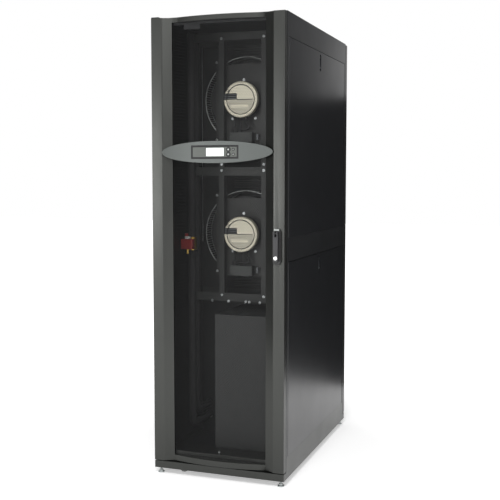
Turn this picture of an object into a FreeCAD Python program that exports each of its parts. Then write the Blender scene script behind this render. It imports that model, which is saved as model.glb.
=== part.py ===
"""In-row cooling unit for a row of server racks: a floor-standing cabinet with a bowed perforated front door, a
perforated rear door, lift-off side panels, and two plug fans that draw air through a coil and blow it forwards.

Frame: X to the right seen from the front, Y towards the rear, Z up. The origin is on the floor, in the middle of the
footprint. Millimetres throughout. The driving sizes are cells of the sheet "sizes", and every piece is bound to them.
"""
import FreeCAD, Part
import math
import os
import Sketcher
from FreeCAD import Placement, Rotation, Vector

doc = FreeCAD.newDocument("in_row_cooler")
sheet = doc.addObject("Spreadsheet::Sheet", "sizes")

SIZES = [
    # the cabinet as a whole
    ("width", 600, "over the side panels"),
    ("depth", 1070, "from door face to door face"),
    ("height", 1991, "floor to roof"),
    ("floor_gap", 27, "floor to the underside of the plinth"),
    ("plinth_height", 31, "height of the plinth skirt"),
    ("plinth_inset", 2, "plinth skirt behind the door faces"),
    ("frame_wall", 3, "folded plate of plinth, shelves and roof"),
    ("sheet_wall", 2, "sheet of doors, posts and rails"),
    ("skin", 1.5, "sheet of the side panels and liners"),
    ("door_gap", 4, "gap between a door and the frame, and over the plinth"),
    ("roof_gap", 1, "gap between a door top and the hinge ear"),
    ("door_edge", 31, "depth of a door's edge"),
    ("base_top", 122, "top of the base side rails"),
    ("top_band", 101, "height of the band under the roof line"),
    ("rail_depth", 27, "depth of the side rails"),
    ("cross_rail", 30, "height of the top cross rails"),
    ("tab_left", 88, "tab under the front cross rail left of the middle"),
    ("tab_width", 75, "width of that tab"),
    ("tab_height", 20, "height of that tab"),
    ("mid_rail_middle", 1008, "height of the middle of the side mid rails"),
    ("mid_rail_height", 102, "height of the side mid rails"),
    ("shelf_height", 100, "underside of the caster shelf"),
    ("shelf_depth", 110, "depth of the caster shelf"),
    # corner posts
    ("post_face", 20, "post face beside a side panel"),
    ("post_depth", 45, "post size from front to back"),
    ("post_width", 45, "post size from side to side"),
    ("panel_seat", 24, "set-back of the post behind the side panel"),
    ("slot_pitch", 140, "pitch of the mounting slots in the posts"),
    ("slot_height", 34, "height of a mounting slot"),
    ("slot_width", 10, "width of a mounting slot"),
    # side panels and their latches
    ("panel_depth", 20, "depth of a side panel tray"),
    ("panel_gap", 2, "gap round a side panel"),
    ("seat_gap", 0.3, "clearance under a side panel's foot"),
    ("panel_corner", 4, "outer corner radius of a side panel"),
    ("cup_width", 24, "width of the latch cup"),
    ("cup_height", 76, "height of the latch cup"),
    ("cup_drop", 11, "panel top to cup top"),
    ("cup_depth", 9, "depth of the latch cup"),
    ("cup_back", 12, "latch cup behind the middle of the panel"),
    ("slider_thick", 4.5, "thickness of the latch slider"),
    ("slider_lip", 3, "finger lip of the latch slider"),
    ("slider_width", 16, "width of the latch slider"),
    ("slider_height", 40, "height of the latch slider"),
    ("side_lock_radius", 7, "lock barrel above a latch slider"),
    # doors
    ("strip_width", 46, "flat outer strip of the front door"),
    ("step_width", 6, "width of the step inside the strip"),
    ("step_depth", 5, "depth of that step"),
    ("mesh_in", 88, "front perforated panel in from the cabinet sides"),
    ("valley_depth", 20, "set-back of the bow's ends behind the strips"),
    ("crest", 6, "bow's middle in front of the strips"),
    ("low_rail", 25, "height of a door's bottom rail"),
    ("high_rail", 20, "height of a door's top rail"),
    ("mesh_set_back", 2, "perforated panel behind the rail fronts"),
    ("mesh_wall", 2, "thickness of a perforated panel"),
    ("slot_columns", 22, "columns of air slots in the front panel"),
    ("slot_share", 0.6, "open share of a column's pitch"),
    ("slot_rows", 3, "rows of air slots"),
    ("slot_bridge", 20, "web between two rows of air slots"),
    ("mesh_margin", 6, "unpierced edge of a perforated panel"),
    ("rear_stile", 60, "width of a rear door stile"),
    ("cap_thick", 8, "end caps of the door stiles"),
    ("hinge_in", 9, "hinge axis in from the cabinet side"),
    ("hinge_back", 19, "hinge axis behind the door face"),
    ("pin_radius", 4, "hinge pins"),
    ("running_gap", 0.05, "radial clearance of a pin in its bore"),
    ("pin_length", 13, "hinge pin above the plinth or under the ear"),
    ("ear_size", 34, "length of the roof's hinge ear"),
    # display
    ("bezel_in", 50, "oval display bezel in from the cabinet sides"),
    ("bezel_height", 92, "height of the bezel"),
    ("bezel_drop", 574, "its middle below the roof"),
    ("bezel_front", 28, "bezel's middle in front of the strips"),
    ("bezel_tip", 7, "bezel's tips in front of the strips"),
    ("window_length", 214, "length of the display window"),
    ("window_height", 57, "height of the display window"),
    ("window_depth", 9, "depth of the window pocket below the bezel's crown"),
    ("window_gap", 1.5, "gap round the display panel"),
    ("panel_thick", 4.5, "thickness of the display panel"),
    ("lcd_length", 79, "length of the screen"),
    ("lcd_height", 34, "height of the screen"),
    ("lcd_right", 1.5, "screen's middle right of the bezel's middle"),
    ("lcd_thick", 3, "thickness of the screen"),
    ("key_radius", 7, "round arrow keys"),
    ("key_right", 62, "arrow keys right of the bezel's middle"),
    ("key_rise", 10, "keys above and below the bezel's middle"),
    ("small_key_radius", 4.5, "round function keys"),
    ("small_key_right", 84, "function keys right of the bezel's middle"),
    ("key_proud", 2, "keys in front of the display panel"),
    ("key_travel", 1, "travel of a key"),
    ("key_gap", 0.3, "clearance round a key"),
    # swing handles
    ("handle_in", 31, "handle axis in from the cabinet side"),
    ("handle_middle", 1024, "height of the handle plate's middle"),
    ("handle_length", 152, "length of the handle plate"),
    ("handle_width", 35, "width of the handle plate"),
    ("handle_plate", 9, "thickness of the handle plate"),
    ("spindle_down", 20, "turning axis below the plate's top"),
    ("neck_radius", 6, "radius of the spindle in the plate"),
    ("lever_width", 19, "width of the lever"),
    ("lever_length", 127, "length of the lever"),
    ("lever_thick", 14, "thickness of the lever"),
    ("lever_taper", 26, "length of the taper at the lever's top"),
    ("lever_gap", 2, "gap between the lever and the plate"),
    ("lever_pin", 2.5, "radius of the lever's cross pin"),
    ("lever_lift", 40, "angle through which the lever lifts"),
    ("tongue_width", 8, "width of the spindle's tongue"),
    ("tongue_gap", 0.4, "clearance beside the tongue"),
    ("fork_length", 14, "slot in the lever below its pin"),
    ("handle_lock_radius", 8, "lock barrel in the lever's end"),
    ("lock_rise", 16, "lock barrel above the lever's end"),
    ("lock_proud", 3, "lock barrel in front of the lever"),
    ("cam_length", 42, "length of the latch cam"),
    ("cam_width", 16, "width of the latch cam"),
    ("cam_thick", 3, "thickness of the latch cam"),
    ("cam_gap", 0.5, "gap between the door's back and the cam"),
    # fan deck
    ("bulkhead_back", 491, "bulkhead's front face behind the door face"),
    ("bulkhead_flange", 20, "depth of the bulkhead's edge flange"),
    ("fan_share", 0.25, "lower fan axis above the lowest shelf, as a share of the height up to the roof"),
    ("fan_shift", 16, "upper fan that much further from the roof than the lower one from the shelf"),
    ("cage_radius", 200, "outer radius of a fan guard"),
    ("cage_depth", 131, "depth of a fan guard"),
    ("cage_wire", 5, "section of the guard's rings"),
    ("cage_bar", 3, "section of the guard's bars"),
    ("cage_bars", 28, "number of bars in a guard"),
    ("frame_reach", 176, "fan frame's face in front of the bulkhead"),
    ("upright_middle", 102, "fan frame uprights off the middle"),
    ("upright_width", 25, "width of an upright"),
    ("upright_depth", 36, "depth of an upright"),
    ("bracket_half", 142, "half the width of a motor bracket"),
    ("bracket_up", 164, "motor bracket's top edge above the fan axis"),
    ("bracket_ear", 186, "its two ears above the fan axis"),
    ("bracket_down", 195, "its foot below the fan axis"),
    ("bracket_flange", 10, "depth of the fold at its foot"),
    ("shelf_low", 740, "underside of the lowest fan shelf"),
    ("shelf_low_height", 38, "height of its front edge"),
    ("shelf_mid_drop", 37, "underside of the middle fan shelf below the middle between the fans"),
    ("shelf_mid_height", 39, "height of its front edge"),
    ("shelf_drop", 63, "underside of the highest fan shelf below the roof"),
    ("shelf_high_height", 35, "height of its front edge"),
    ("motor_radius", 81, "radius of a motor's electronics cap"),
    ("motor_cap", 24, "depth of that cap"),
    ("motor_body", 78, "radius of the motor's body behind the cap"),
    ("motor_reach", 62, "motor in front of its bracket"),
    ("cap_edge", 8, "width of the slope round a motor's cap"),
    ("cap_slope", 6, "depth of the slope round a motor's cap"),
    ("gland_left", 38, "motor's left gland from its axis"),
    ("gland_right", 14, "motor's right gland from its axis"),
    ("gland_length", 40, "length of a gland"),
    ("gland_wall", 3, "wall of a gland round its cable"),
    ("gland_drop", 4, "glands below a motor's cap"),
    ("hub_foot", 14, "slope round a fan wheel's boss"),
    ("nozzle_turn", 0.4, "share of a nozzle's depth at its bend"),
    ("liner_gap", 1, "duct liners behind the posts"),
    ("neck_gap", 0.5, "spindle's neck in front of the handle plate"),
    ("lever_waist", 0.4, "lever's narrow end as a share of its width"),
    ("keypad_floor", 1, "keypad left under the keys"),
    ("key_room", 0.5, "room under a pressed key"),
    ("lock_sunk", 2, "side panel's lock behind its face"),
    ("slider_hook", 4, "height of a latch's lip"),
    ("slider_slope", 5, "height of the slope above a latch's lip"),
    ("slider_rest", 1, "latch above the round end of its cup"),
    ("gland_back", 10, "cable glands behind the cap"),
    ("stator_radius", 66, "stator boss through the bracket"),
    ("stator_depth", 16, "stator boss behind the bracket's face"),
    ("axle_radius", 8, "fan axle"),
    ("axle_length", 42, "fan axle behind the stator boss"),
    ("wheel_radius", 172, "radius of a fan wheel"),
    ("wheel_gap", 4, "gap between the stator boss and the fan wheel"),
    ("wheel_width", 96, "width of a fan wheel"),
    ("hub_radius", 34, "radius of the fan wheel's hub"),
    ("eye_radius", 122, "inlet radius of the fan wheel"),
    ("shroud_rise", 26, "depth of the wheel's front shroud"),
    ("blade_count", 7, "blades in a fan wheel"),
    ("blade_wall", 3, "thickness of a blade"),
    ("nozzle_throat", 114, "throat radius of the inlet nozzle"),
    ("nozzle_mouth", 150, "mouth radius of the inlet nozzle"),
    ("nozzle_reach", 34, "nozzle in front of the bulkhead"),
    ("nozzle_flange", 18, "width of the nozzle's flange"),
    ("nozzle_taper", 4, "taper of the nozzle's throat"),
    ("box_length", 107, "length of a junction box"),
    ("box_height", 46, "height of a junction box"),
    ("box_depth", 40, "depth of a junction box"),
    ("box_drop", 169, "junction box middle below the fan axis"),
    ("box_left", 7, "junction box middle left of the fan axis"),
    ("cable_radius", 4, "radius of the motor cables"),
    # electrical box, coil and water side
    ("ebox_left", -65, "left side of the electrical box"),
    ("ebox_in", 50, "electrical box in from the cabinet's right side"),
    ("ebox_high", 706, "top of the electrical box"),
    ("ebox_back", 135, "electrical box's front behind the door face"),
    ("cover_lip", 14, "depth of the electrical box cover"),
    ("coil_in", 92, "coil in from the cabinet sides"),
    ("coil_start", 595, "coil's front behind the door face"),
    ("coil_depth", 120, "depth of the coil"),
    ("coil_low", 180, "underside of the coil"),
    ("coil_drop", 111, "top of the coil below the roof"),
    ("tube_radius", 7, "coil tubes"),
    ("bend_count", 8, "return bends on the right side of the coil"),
    ("bend_radius", 24, "radius of a return bend"),
    ("header_radius", 14, "coil headers"),
    ("pan_wall", 2, "drain pan sheet"),
    ("pan_height", 42, "depth of the drain pan"),
    ("pan_in", 32, "drain pan in from the cabinet sides"),
    ("pan_lip", 8, "lip of the pan on the base rails"),
    ("filter_start", 860, "filters' front behind the door face"),
    ("filter_depth", 46, "depth of a filter"),
    ("filter_frame", 22, "width of a filter's frame"),
    ("filter_in", 25, "filters in from the cabinet sides"),
    ("filter_recess", 8, "filter media behind its frame"),
    ("pipe_radius", 17, "insulated pipes"),
    ("pipe_spacing", 50, "spacing of the two pipes"),
    ("pipe_in", 60, "pipes' axes in from the cabinet side"),
    ("pipe_back", 293, "front pipe's axis behind the door face"),
    ("pipe_low", 150, "height of the lowest pipe run"),
    ("pipe_rise", 55, "upper pipe run above the lowest"),
    ("pipe_bend", 40, "bend radius of the pipes"),
    ("port_radius", 22, "pipe ports in the roof"),
    ("cable_port_radius", 20, "cable port in the roof"),
    ("roof_hole_radius", 4.5, "trough fixing holes in the roof"),
    ("roof_hole_in", 45, "fixing holes in from the cabinet sides"),
    ("roof_hole_back", 60, "fixing holes in from the frame's front and rear"),
    ("valve_middle", 1006, "height of the valve actuator"),
    ("pipe_end", 25, "ends of the pipes below the top of the roof"),
    ("pipe_room", 3, "room round a pipe where it passes a sheet"),
    ("header_rise", 30, "foot of the headers above the pipes' bend"),
    ("header_drop", 60, "headers below the top of the coil"),
    ("plate_rim", 4, "end plates past the coil"),
    ("pan_margin", 20, "drain pan past the coil, front and back"),
    ("filter_gap", 2, "filters below the side bands"),
    ("valve_radius", 9, "brass valve body"),
    ("actuator_width", 58, "width of the valve actuator"),
    ("actuator_height", 47, "height of the valve actuator"),
    ("actuator_depth", 30, "depth of the valve actuator"),
    ("knob_height", 12, "knob on top of the valve actuator"),
    ("valve_wall", 6, "wall of the valve body round its pipe"),
    ("valve_half", 30, "half the height of the valve body"),
    ("stem_length", 22, "valve actuator in front of its pipe"),
    # casters and levelling feet
    ("caster_in", 95, "caster axis in from the cabinet side"),
    ("caster_back", 63.5, "caster axis behind the plinth face"),
    ("caster_wheel", 26, "radius of a caster wheel"),
    ("caster_lift", 1, "wheels above the floor while the feet carry"),
    ("tread_width", 24, "width of a caster wheel"),
    ("trail", 22, "caster trail"),
    ("left_swing", 170, "left front caster's direction at rest"),
    ("right_swing", -85, "right front caster's direction at rest"),
    ("kingpin_radius", 8, "caster kingpin"),
    ("caster_axle", 5, "radius of a caster axle"),
    ("swivel_gap", 0.5, "gap above a swivelling fork's head"),
    ("head_height", 14, "height of a fork's head"),
    ("cheek_half", 8, "cheek round its axle"),
    ("neck_half", 15, "half the width of a cheek at the head"),
    ("tread_edge", 4, "bevel of a caster wheel"),
    ("fork_wall", 3, "thickness of a fork cheek"),
    ("fork_gap", 2, "gap between wheel and cheek"),
    ("fork_head", 24, "radius of the fork head"),
    ("foot_in", 20, "foot axis in from the cabinet side"),
    ("foot_back", 23, "foot axis in from the plinth face"),
    ("foot_radius", 15, "radius of a foot's pad"),
    ("foot_pad", 7, "thickness of a foot's pad"),
    ("pad_slope", 3, "height of the slope of a foot's pad"),
    ("stem_radius", 5, "radius of a foot's stem"),
    ("foot_nut", 20, "length of the nut that guides a foot's stem"),
]
for line, (alias, amount, note) in enumerate(SIZES, start=2):
    sheet.set(f"A{line}", alias)
    sheet.set(f"B{line}", str(amount))
    sheet.setAlias(f"B{line}", alias)
    sheet.set(f"C{line}", note)
doc.recompute()


# ---------------------------------------------------------------- sizes that remember their formula
def number(value):
    return value.number if isinstance(value, Size) else float(value)


def formula(value):
    return value.formula if isinstance(value, Size) else repr(float(value))


class Size:
    """A length that keeps its sheet formula beside its number, so that a feature can be bound to it."""

    def __init__(self, amount, text):
        self.number = float(amount)
        self.formula = text

    def __add__(self, other):
        return Size(self.number + number(other), f"({self.formula} + {formula(other)})")

    def __sub__(self, other):
        return Size(self.number - number(other), f"({self.formula} - {formula(other)})")

    def __rsub__(self, other):
        return Size(number(other) - self.number, f"({formula(other)} - {self.formula})")

    def __mul__(self, other):
        return Size(self.number * number(other), f"({self.formula} * {formula(other)})")

    def __truediv__(self, other):
        return Size(self.number / number(other), f"({self.formula} / {formula(other)})")

    def __neg__(self):
        return Size(-self.number, f"(0 - {self.formula})")

    __radd__ = __add__
    __rmul__ = __mul__


def cosine(angle):
    return Size(math.cos(math.radians(number(angle))), f"cos({formula(angle)} * 1 deg)")


def sine(angle):
    return Size(math.sin(math.radians(number(angle))), f"sin({formula(angle)} * 1 deg)")


class Sizes:
    """Gives each sheet cell as a Size, by its alias."""

    def __getattr__(self, alias):
        return Size(float(sheet.get(alias)), f"sizes.{alias}")


s = Sizes()


# ---------------------------------------------------------------- modelling helpers
def bind(piece, prop, value):
    """Sets a property, and ties it to the sheet where its value comes from there."""
    if isinstance(value, Size):
        piece.setExpression(prop, value.formula)
    else:
        setattr(piece, prop, value)


def place(piece, at, turn=None):
    """Puts a piece at a point, turned, with the point tied to the sheet."""
    piece.Placement = Placement(Vector(*map(number, at)), turn or piece.Placement.Rotation)
    for axis, value in zip("xyz", at):
        if isinstance(value, Size):
            piece.setExpression(f"Placement.Base.{axis}", value.formula)
    return piece


TURN_X = {"x": Rotation(Vector(0, 1, 0), 90), "y": Rotation(Vector(1, 0, 0), -90), "z": Rotation()}
TO_VIEWER = Rotation(Vector(1, 0, 0), 90)


def box(name, low, high):
    """A block between two corners."""
    block = doc.addObject("Part::Box", name)
    for prop, a, b in zip(("Length", "Width", "Height"), low, high):
        bind(block, prop, b - a)
    return place(block, low)


def rod(name, radius, start, length, axis="z"):
    """A cylinder that starts at a point and runs along a positive axis."""
    bar = doc.addObject("Part::Cylinder", name)
    bind(bar, "Radius", radius)
    bind(bar, "Height", length)
    return place(bar, start, TURN_X[axis])


def cut(name, base, *tools):
    """base less every tool."""
    result = doc.addObject("Part::Cut", name)
    result.Base = base
    result.Tool = tools[0] if len(tools) == 1 else fuse(name + "_tools", *tools)
    return result


def fuse(name, *pieces):
    result = doc.addObject("Part::MultiFuse", name)
    result.Shapes = list(pieces)
    result.Refine = False
    return result


def common(name, *pieces):
    result = doc.addObject("Part::MultiCommon", name)
    result.Shapes = list(pieces)
    return result


def group(name, *pieces):
    """Separate solids that share one node."""
    result = doc.addObject("Part::Compound", name)
    result.Links = list(pieces)
    return result


def mirror(name, piece, normal):
    result = doc.addObject("Part::Mirroring", name)
    result.Source = piece
    result.Normal = Vector(*normal)
    return result


ACROSS = (1, 0, 0)
BACKWARDS = (0, 1, 0)


def four_corners(name, piece):
    """A right front piece and its three mirror images."""
    right = group(name + "_right", piece, mirror(name + "_rear", piece, BACKWARDS))
    return group(name, right, mirror(name + "_left", right, ACROSS))


def origin_feature(body, role):
    return next(f for f in body.Origin.OriginFeatures if f.Role == role)


def new_sketch(body, name, plane, offset=0):
    drawing = body.newObject("Sketcher::SketchObject", name)
    drawing.AttachmentSupport = (origin_feature(body, plane), [""])
    drawing.MapMode = "FlatFace"
    drawing.AttachmentOffset = Placement(Vector(0, 0, number(offset)), Rotation())
    if isinstance(offset, Size):
        drawing.setExpression("AttachmentOffset.Base.z", offset.formula)
    return drawing


def pin_down(drawing, kind, geometry, position, value):
    """One dimension of a sketch, tied to the sheet."""
    if position is None:
        index = drawing.addConstraint(Sketcher.Constraint(kind, geometry, number(value)))
    else:
        index = drawing.addConstraint(Sketcher.Constraint(kind, geometry, position, number(value)))
    if isinstance(value, Size):
        drawing.setExpression(f"Constraints[{index}]", value.formula)


def draw_side(drawing, a, b, radius):
    """One side of an outline: a line, or an arc that turns left (positive radius) or right. Gives the geometry's
    index and which of its ends is the start and which the stop."""
    if radius is None:
        return drawing.addGeometry(Part.LineSegment(a, b)), 1, 2
    left = radius > 0
    half_chord = (b - a).Length / 2
    sideways = Vector(a.y - b.y, b.x - a.x, 0).normalize() * (1 if left else -1)
    middle = (a + b) / 2 + sideways * math.sqrt(max(radius**2 - half_chord**2, 0))
    first, last = (a, b) if left else (b, a)
    start, stop = (math.atan2(p.y - middle.y, p.x - middle.x) for p in (first, last))
    arc = Part.ArcOfCircle(Part.Circle(middle, Vector(0, 0, 1), abs(radius)), start, stop)
    index = drawing.addGeometry(arc)
    return (index, 1, 2) if left else (index, 2, 1)


def outline(drawing, corners, closed=True):
    """Draws a line of straight sides and arcs. A corner is (x, y), or (x, y, radius) where the side that leaves it is
    an arc of that radius, positive where it turns to the left."""
    last = corners[:1] if closed else []
    ends = []
    for here, after in zip(corners, corners[1:] + last):
        a = Vector(number(here[0]), number(here[1]), 0)
        b = Vector(number(after[0]), number(after[1]), 0)
        ends.append(draw_side(drawing, a, b, number(here[2]) if len(here) == 3 else None))
    for (one, _, stop), (two, start, _) in zip(ends, ends[1:] + (ends[:1] if closed else [])):
        drawing.addConstraint(Sketcher.Constraint("Coincident", one, stop, two, start))
    for (index, start, _), corner in zip(ends, corners):
        pin_down(drawing, "DistanceX", index, start, corner[0])
        pin_down(drawing, "DistanceY", index, start, corner[1])
        if len(corner) == 3:
            turn = corner[2]
            pin_down(drawing, "Radius", index, None, turn if number(turn) > 0 else -turn)
    if not closed:
        pin_down(drawing, "DistanceX", ends[-1][0], ends[-1][2], corners[-1][0])
        pin_down(drawing, "DistanceY", ends[-1][0], ends[-1][2], corners[-1][1])


def ring(drawing, x, y, radius):
    """Draws a circle."""
    index = drawing.addGeometry(Part.Circle(Vector(number(x), number(y), 0), Vector(0, 0, 1), number(radius)))
    pin_down(drawing, "DistanceX", index, 3, x)
    pin_down(drawing, "DistanceY", index, 3, y)
    pin_down(drawing, "Radius", index, None, radius)


def padded(body, name, plane, loops, low, high):
    """Adds a pad of one or more outlines to a body, between two places along the plane's own axis."""
    offset = -high if plane == "XZ_Plane" else low
    drawing = new_sketch(body, name + "_sketch", plane, offset)
    for loop in loops:
        if len(loop) == 3 and not isinstance(loop[0], tuple):
            ring(drawing, *loop)
        else:
            outline(drawing, loop)
    pad = body.newObject("PartDesign::Pad", name + "_pad")
    pad.Profile = drawing
    bind(pad, "Length", high - low)
    return pad


def prism(name, plane, loops, low, high):
    """A body made of one pad. Its outlines are (x, y), (x, z) or (y, z), by the plane."""
    body = doc.addObject("PartDesign::Body", name)
    padded(body, name, plane + "_Plane", loops, low, high)
    return body


def turned(body, name, corners):
    """Adds a revolution about the body's Z axis. Its corners are (radius, height)."""
    drawing = new_sketch(body, name + "_sketch", "XZ_Plane")
    outline(drawing, corners)
    revolution = body.newObject("PartDesign::Revolution", name + "_turned")
    revolution.Profile = drawing
    revolution.ReferenceAxis = (drawing, ["V_Axis"])
    revolution.Angle = 360
    return revolution


def lathe(name, corners):
    """A body made of one revolution about Z."""
    body = doc.addObject("PartDesign::Body", name)
    turned(body, name, corners)
    return body


def repeat_round(body, name, feature, count):
    """Repeats a feature round the body's Z axis."""
    pattern = body.newObject("PartDesign::PolarPattern", name + "_pattern")
    pattern.Originals = [feature]
    pattern.Axis = (origin_feature(body, "Z_Axis"), [""])
    pattern.Angle = 360
    bind(pattern, "Occurrences", count)
    body.Tip = pattern
    return pattern


def rectangle(x0, x1, y0, y1):
    return [(x0, y0), (x1, y0), (x1, y1), (x0, y1)]


def obround(x, y, width, length):
    """An upright slot with round ends."""
    r, up = width / 2, (length - width) / 2
    return [(x + r, y - up), (x + r, y + up, r), (x, y + up + r, r), (x - r, y + up), (x - r, y - up, r),
            (x, y - up - r, r)]


NODES = {}


def node(name, piece):
    """Names a finished sub-part: its label is its file's name."""
    piece.Label = name
    NODES[name] = piece
    return piece


# ---------------------------------------------------------------- places worked out from the sizes
OVER = 1  # how far a cutter, or a piece to be fused, reaches past a face
side = s.width / 2
face = -(s.depth / 2)
frame_front = face + s.door_edge + s.door_gap
frame_rear = -frame_front
plinth_face = face + s.plinth_inset
plinth_top = s.floor_gap + s.plinth_height
door_low = plinth_top + s.door_gap
roof_low = s.height - s.frame_wall
door_high = roof_low - s.roof_gap
band_low = s.height - s.top_band
mid_low = s.mid_rail_middle - s.mid_rail_height / 2
mid_high = s.mid_rail_middle + s.mid_rail_height / 2
panel_front = frame_front + s.post_face
hinge_x = -side + s.hinge_in
hinge_y = face + s.hinge_back
mesh_half = side - s.mesh_in
bezel_middle = s.height - s.bezel_drop
fan_low = s.shelf_low + (roof_low - s.shelf_low) * s.fan_share
fan_high = roof_low + s.shelf_low - fan_low - s.fan_shift
shelf_mid = (fan_low + fan_high) / 2 - s.shelf_mid_drop
shelf_high = s.height - s.shelf_drop
coil_high = s.height - s.coil_drop
bow_rise = s.valley_depth + s.crest
bow_radius = (mesh_half * mesh_half + bow_rise * bow_rise) / (bow_rise * 2)
bow_end = face + s.valley_depth
bulkhead_face = face + s.bulkhead_back
duct_half = side - s.rail_depth - s.skin
deck_face = bulkhead_face - s.frame_reach
bracket_face = deck_face + s.upright_depth
gland_y = bracket_face - s.motor_reach + s.motor_cap + s.gland_back
FANS = {"upper": fan_high, "lower": fan_low}
pipe_x = -side + s.pipe_in
pipe_y = face + s.pipe_back


# ---------------------------------------------------------------- cabinet frame
KINGPIN = 16  # length of a kingpin below the caster shelf


def caster_places():
    """Where the casters' kingpins stand: front left, front right, rear left, rear right."""
    x, y = side - s.caster_in, plinth_face + s.caster_back
    return [(-x, y), (x, y), (-x, -y), (x, -y)]


def pivot_pins(name, low, length):
    """A hinge pin at each door's axis."""
    front = rod(name + "_front", s.pin_radius, (hinge_x, hinge_y, low), length)
    rear = rod(name + "_rear", s.pin_radius, (hinge_x, -hinge_y, low), length)
    return [front, rear]


def base_frame():
    """Plinth skirt, stepped caster shelves front and rear, side rails, kingpins and the doors' lower hinge pins."""
    skirt = box("skirt", (-side, plinth_face, s.floor_gap), (side, -plinth_face, plinth_top))
    inside = box("skirt_inside", (-side + s.frame_wall, plinth_face + s.frame_wall, s.floor_gap),
                 (side - s.frame_wall, -plinth_face - s.frame_wall, plinth_top - s.frame_wall))
    opening = box("skirt_opening", (-side + s.rail_depth, frame_front + s.frame_wall, s.floor_gap),
                  (side - s.rail_depth, frame_rear - s.frame_wall, plinth_top))
    plinth = cut("plinth", skirt, inside, opening)
    low, top = plinth_top - s.frame_wall, s.shelf_height + s.frame_wall
    back = frame_front + s.shelf_depth
    fold = [(frame_front, low), (frame_front + s.frame_wall, low), (frame_front + s.frame_wall, s.shelf_height),
            (back - s.frame_wall, s.shelf_height), (back - s.frame_wall, low), (back, low), (back, top),
            (frame_front, top)]
    web = side - s.frame_wall
    shelf = prism("front_shelf", "YZ", [fold], -web, web)
    rail = prism("base_rail", "XZ", [channel(side, s.rail_depth, plinth_top - s.frame_wall, s.base_top)],
                 frame_front, frame_rear)
    pins = [rod(f"kingpin_{i}", s.kingpin_radius, (x, y, s.shelf_height - KINGPIN), KINGPIN + OVER)
            for i, (x, y) in enumerate(caster_places())]
    nuts = [rod(f"foot_nut_{i}", s.stem_radius * 2,
                (x * (side - s.foot_in), y * (plinth_face + s.foot_back), low - s.foot_nut), s.foot_nut + OVER)
            for i, (x, y) in enumerate(((1, 1), (1, -1), (-1, 1), (-1, -1)))]
    solid = fuse("base_solid", plinth, shelf, mirror("rear_shelf", shelf, BACKWARDS), rail,
                 mirror("left_base_rail", rail, ACROSS), *pins, *nuts,
                 *pivot_pins("low_pin", low, s.pin_length + s.frame_wall))
    bores = [rod(f"foot_bore_{i}", s.stem_radius + s.running_gap,
                 (x * (side - s.foot_in), y * (plinth_face + s.foot_back), s.floor_gap), s.plinth_height)
             for i, (x, y) in enumerate(((1, 1), (1, -1), (-1, 1), (-1, -1)))]
    node("base_frame", cut("base_cut", solid, *bores))


def channel(outer, depth, low, high):
    """A channel open towards the middle of the cabinet, on the right side, as (x, z)."""
    wall, lip = s.frame_wall, outer - depth
    return [(outer, low), (outer, high), (lip, high), (lip, high - wall), (outer - wall, high - wall),
            (outer - wall, low + wall), (lip, low + wall), (lip, low)]


def top_frame():
    """Deep side bands, shallow cross rails, hinge ears and the doors' upper pins."""
    band = prism("band", "XZ", [channel(side, s.rail_depth, band_low, roof_low)], frame_front, frame_rear)
    rail_back = frame_front + s.cross_rail
    wall = s.frame_wall
    fold = [(frame_front, roof_low - s.cross_rail), (frame_front + wall, roof_low - s.cross_rail),
            (frame_front + wall, roof_low - wall), (rail_back, roof_low - wall), (rail_back, roof_low),
            (frame_front, roof_low)]
    rail = prism("cross_rail_front", "YZ", [fold], -side + wall, side - wall)
    tab_low = roof_low - s.cross_rail - s.tab_height
    tab = box("rail_tab", (-s.tab_left - s.tab_width, frame_front, tab_low),
              (-s.tab_left, frame_front + wall, roof_low - s.cross_rail + OVER))
    frame = fuse("top_solid", band, mirror("band_left", band, ACROSS), rail, tab,
                 mirror("cross_rail_rear", rail, BACKWARDS))
    node("top_frame", frame)


def roof_panel():
    """Flat roof with pipe ports, a cable port, trough holes and the ears that carry the doors' upper pins."""
    sheet_metal = box("roof_sheet", (-side, frame_front, roof_low), (side, frame_rear, s.height))
    ear = box("roof_ear", (-side, face + s.plinth_inset, roof_low),
              (-side + s.ear_size, frame_front + OVER, s.height))
    pins = pivot_pins("high_pin", roof_low - s.pin_length, s.pin_length + s.frame_wall)
    roof = fuse("roof_solid", sheet_metal, ear, mirror("rear_ear", ear, BACKWARDS), *pins)
    ports = [rod(name, radius, (x, y, roof_low - OVER), s.frame_wall + OVER * 2)
             for name, radius, x, y in (("supply_port", s.port_radius, pipe_x, pipe_y),
                                        ("return_port", s.port_radius, pipe_x, pipe_y + s.pipe_spacing),
                                        ("cable_port", s.cable_port_radius, -pipe_x, pipe_y))]
    holes = [rod(f"roof_hole_{i}", s.roof_hole_radius,
                 (x * (side - s.roof_hole_in), y * (frame_rear - s.roof_hole_back), roof_low - OVER),
                 s.frame_wall + OVER * 2)
             for i, (x, y) in enumerate(((1, 1), (1, -1), (-1, 1), (-1, -1)))]
    node("roof_panel", cut("roof_cut", roof, *ports, *holes))


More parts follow.
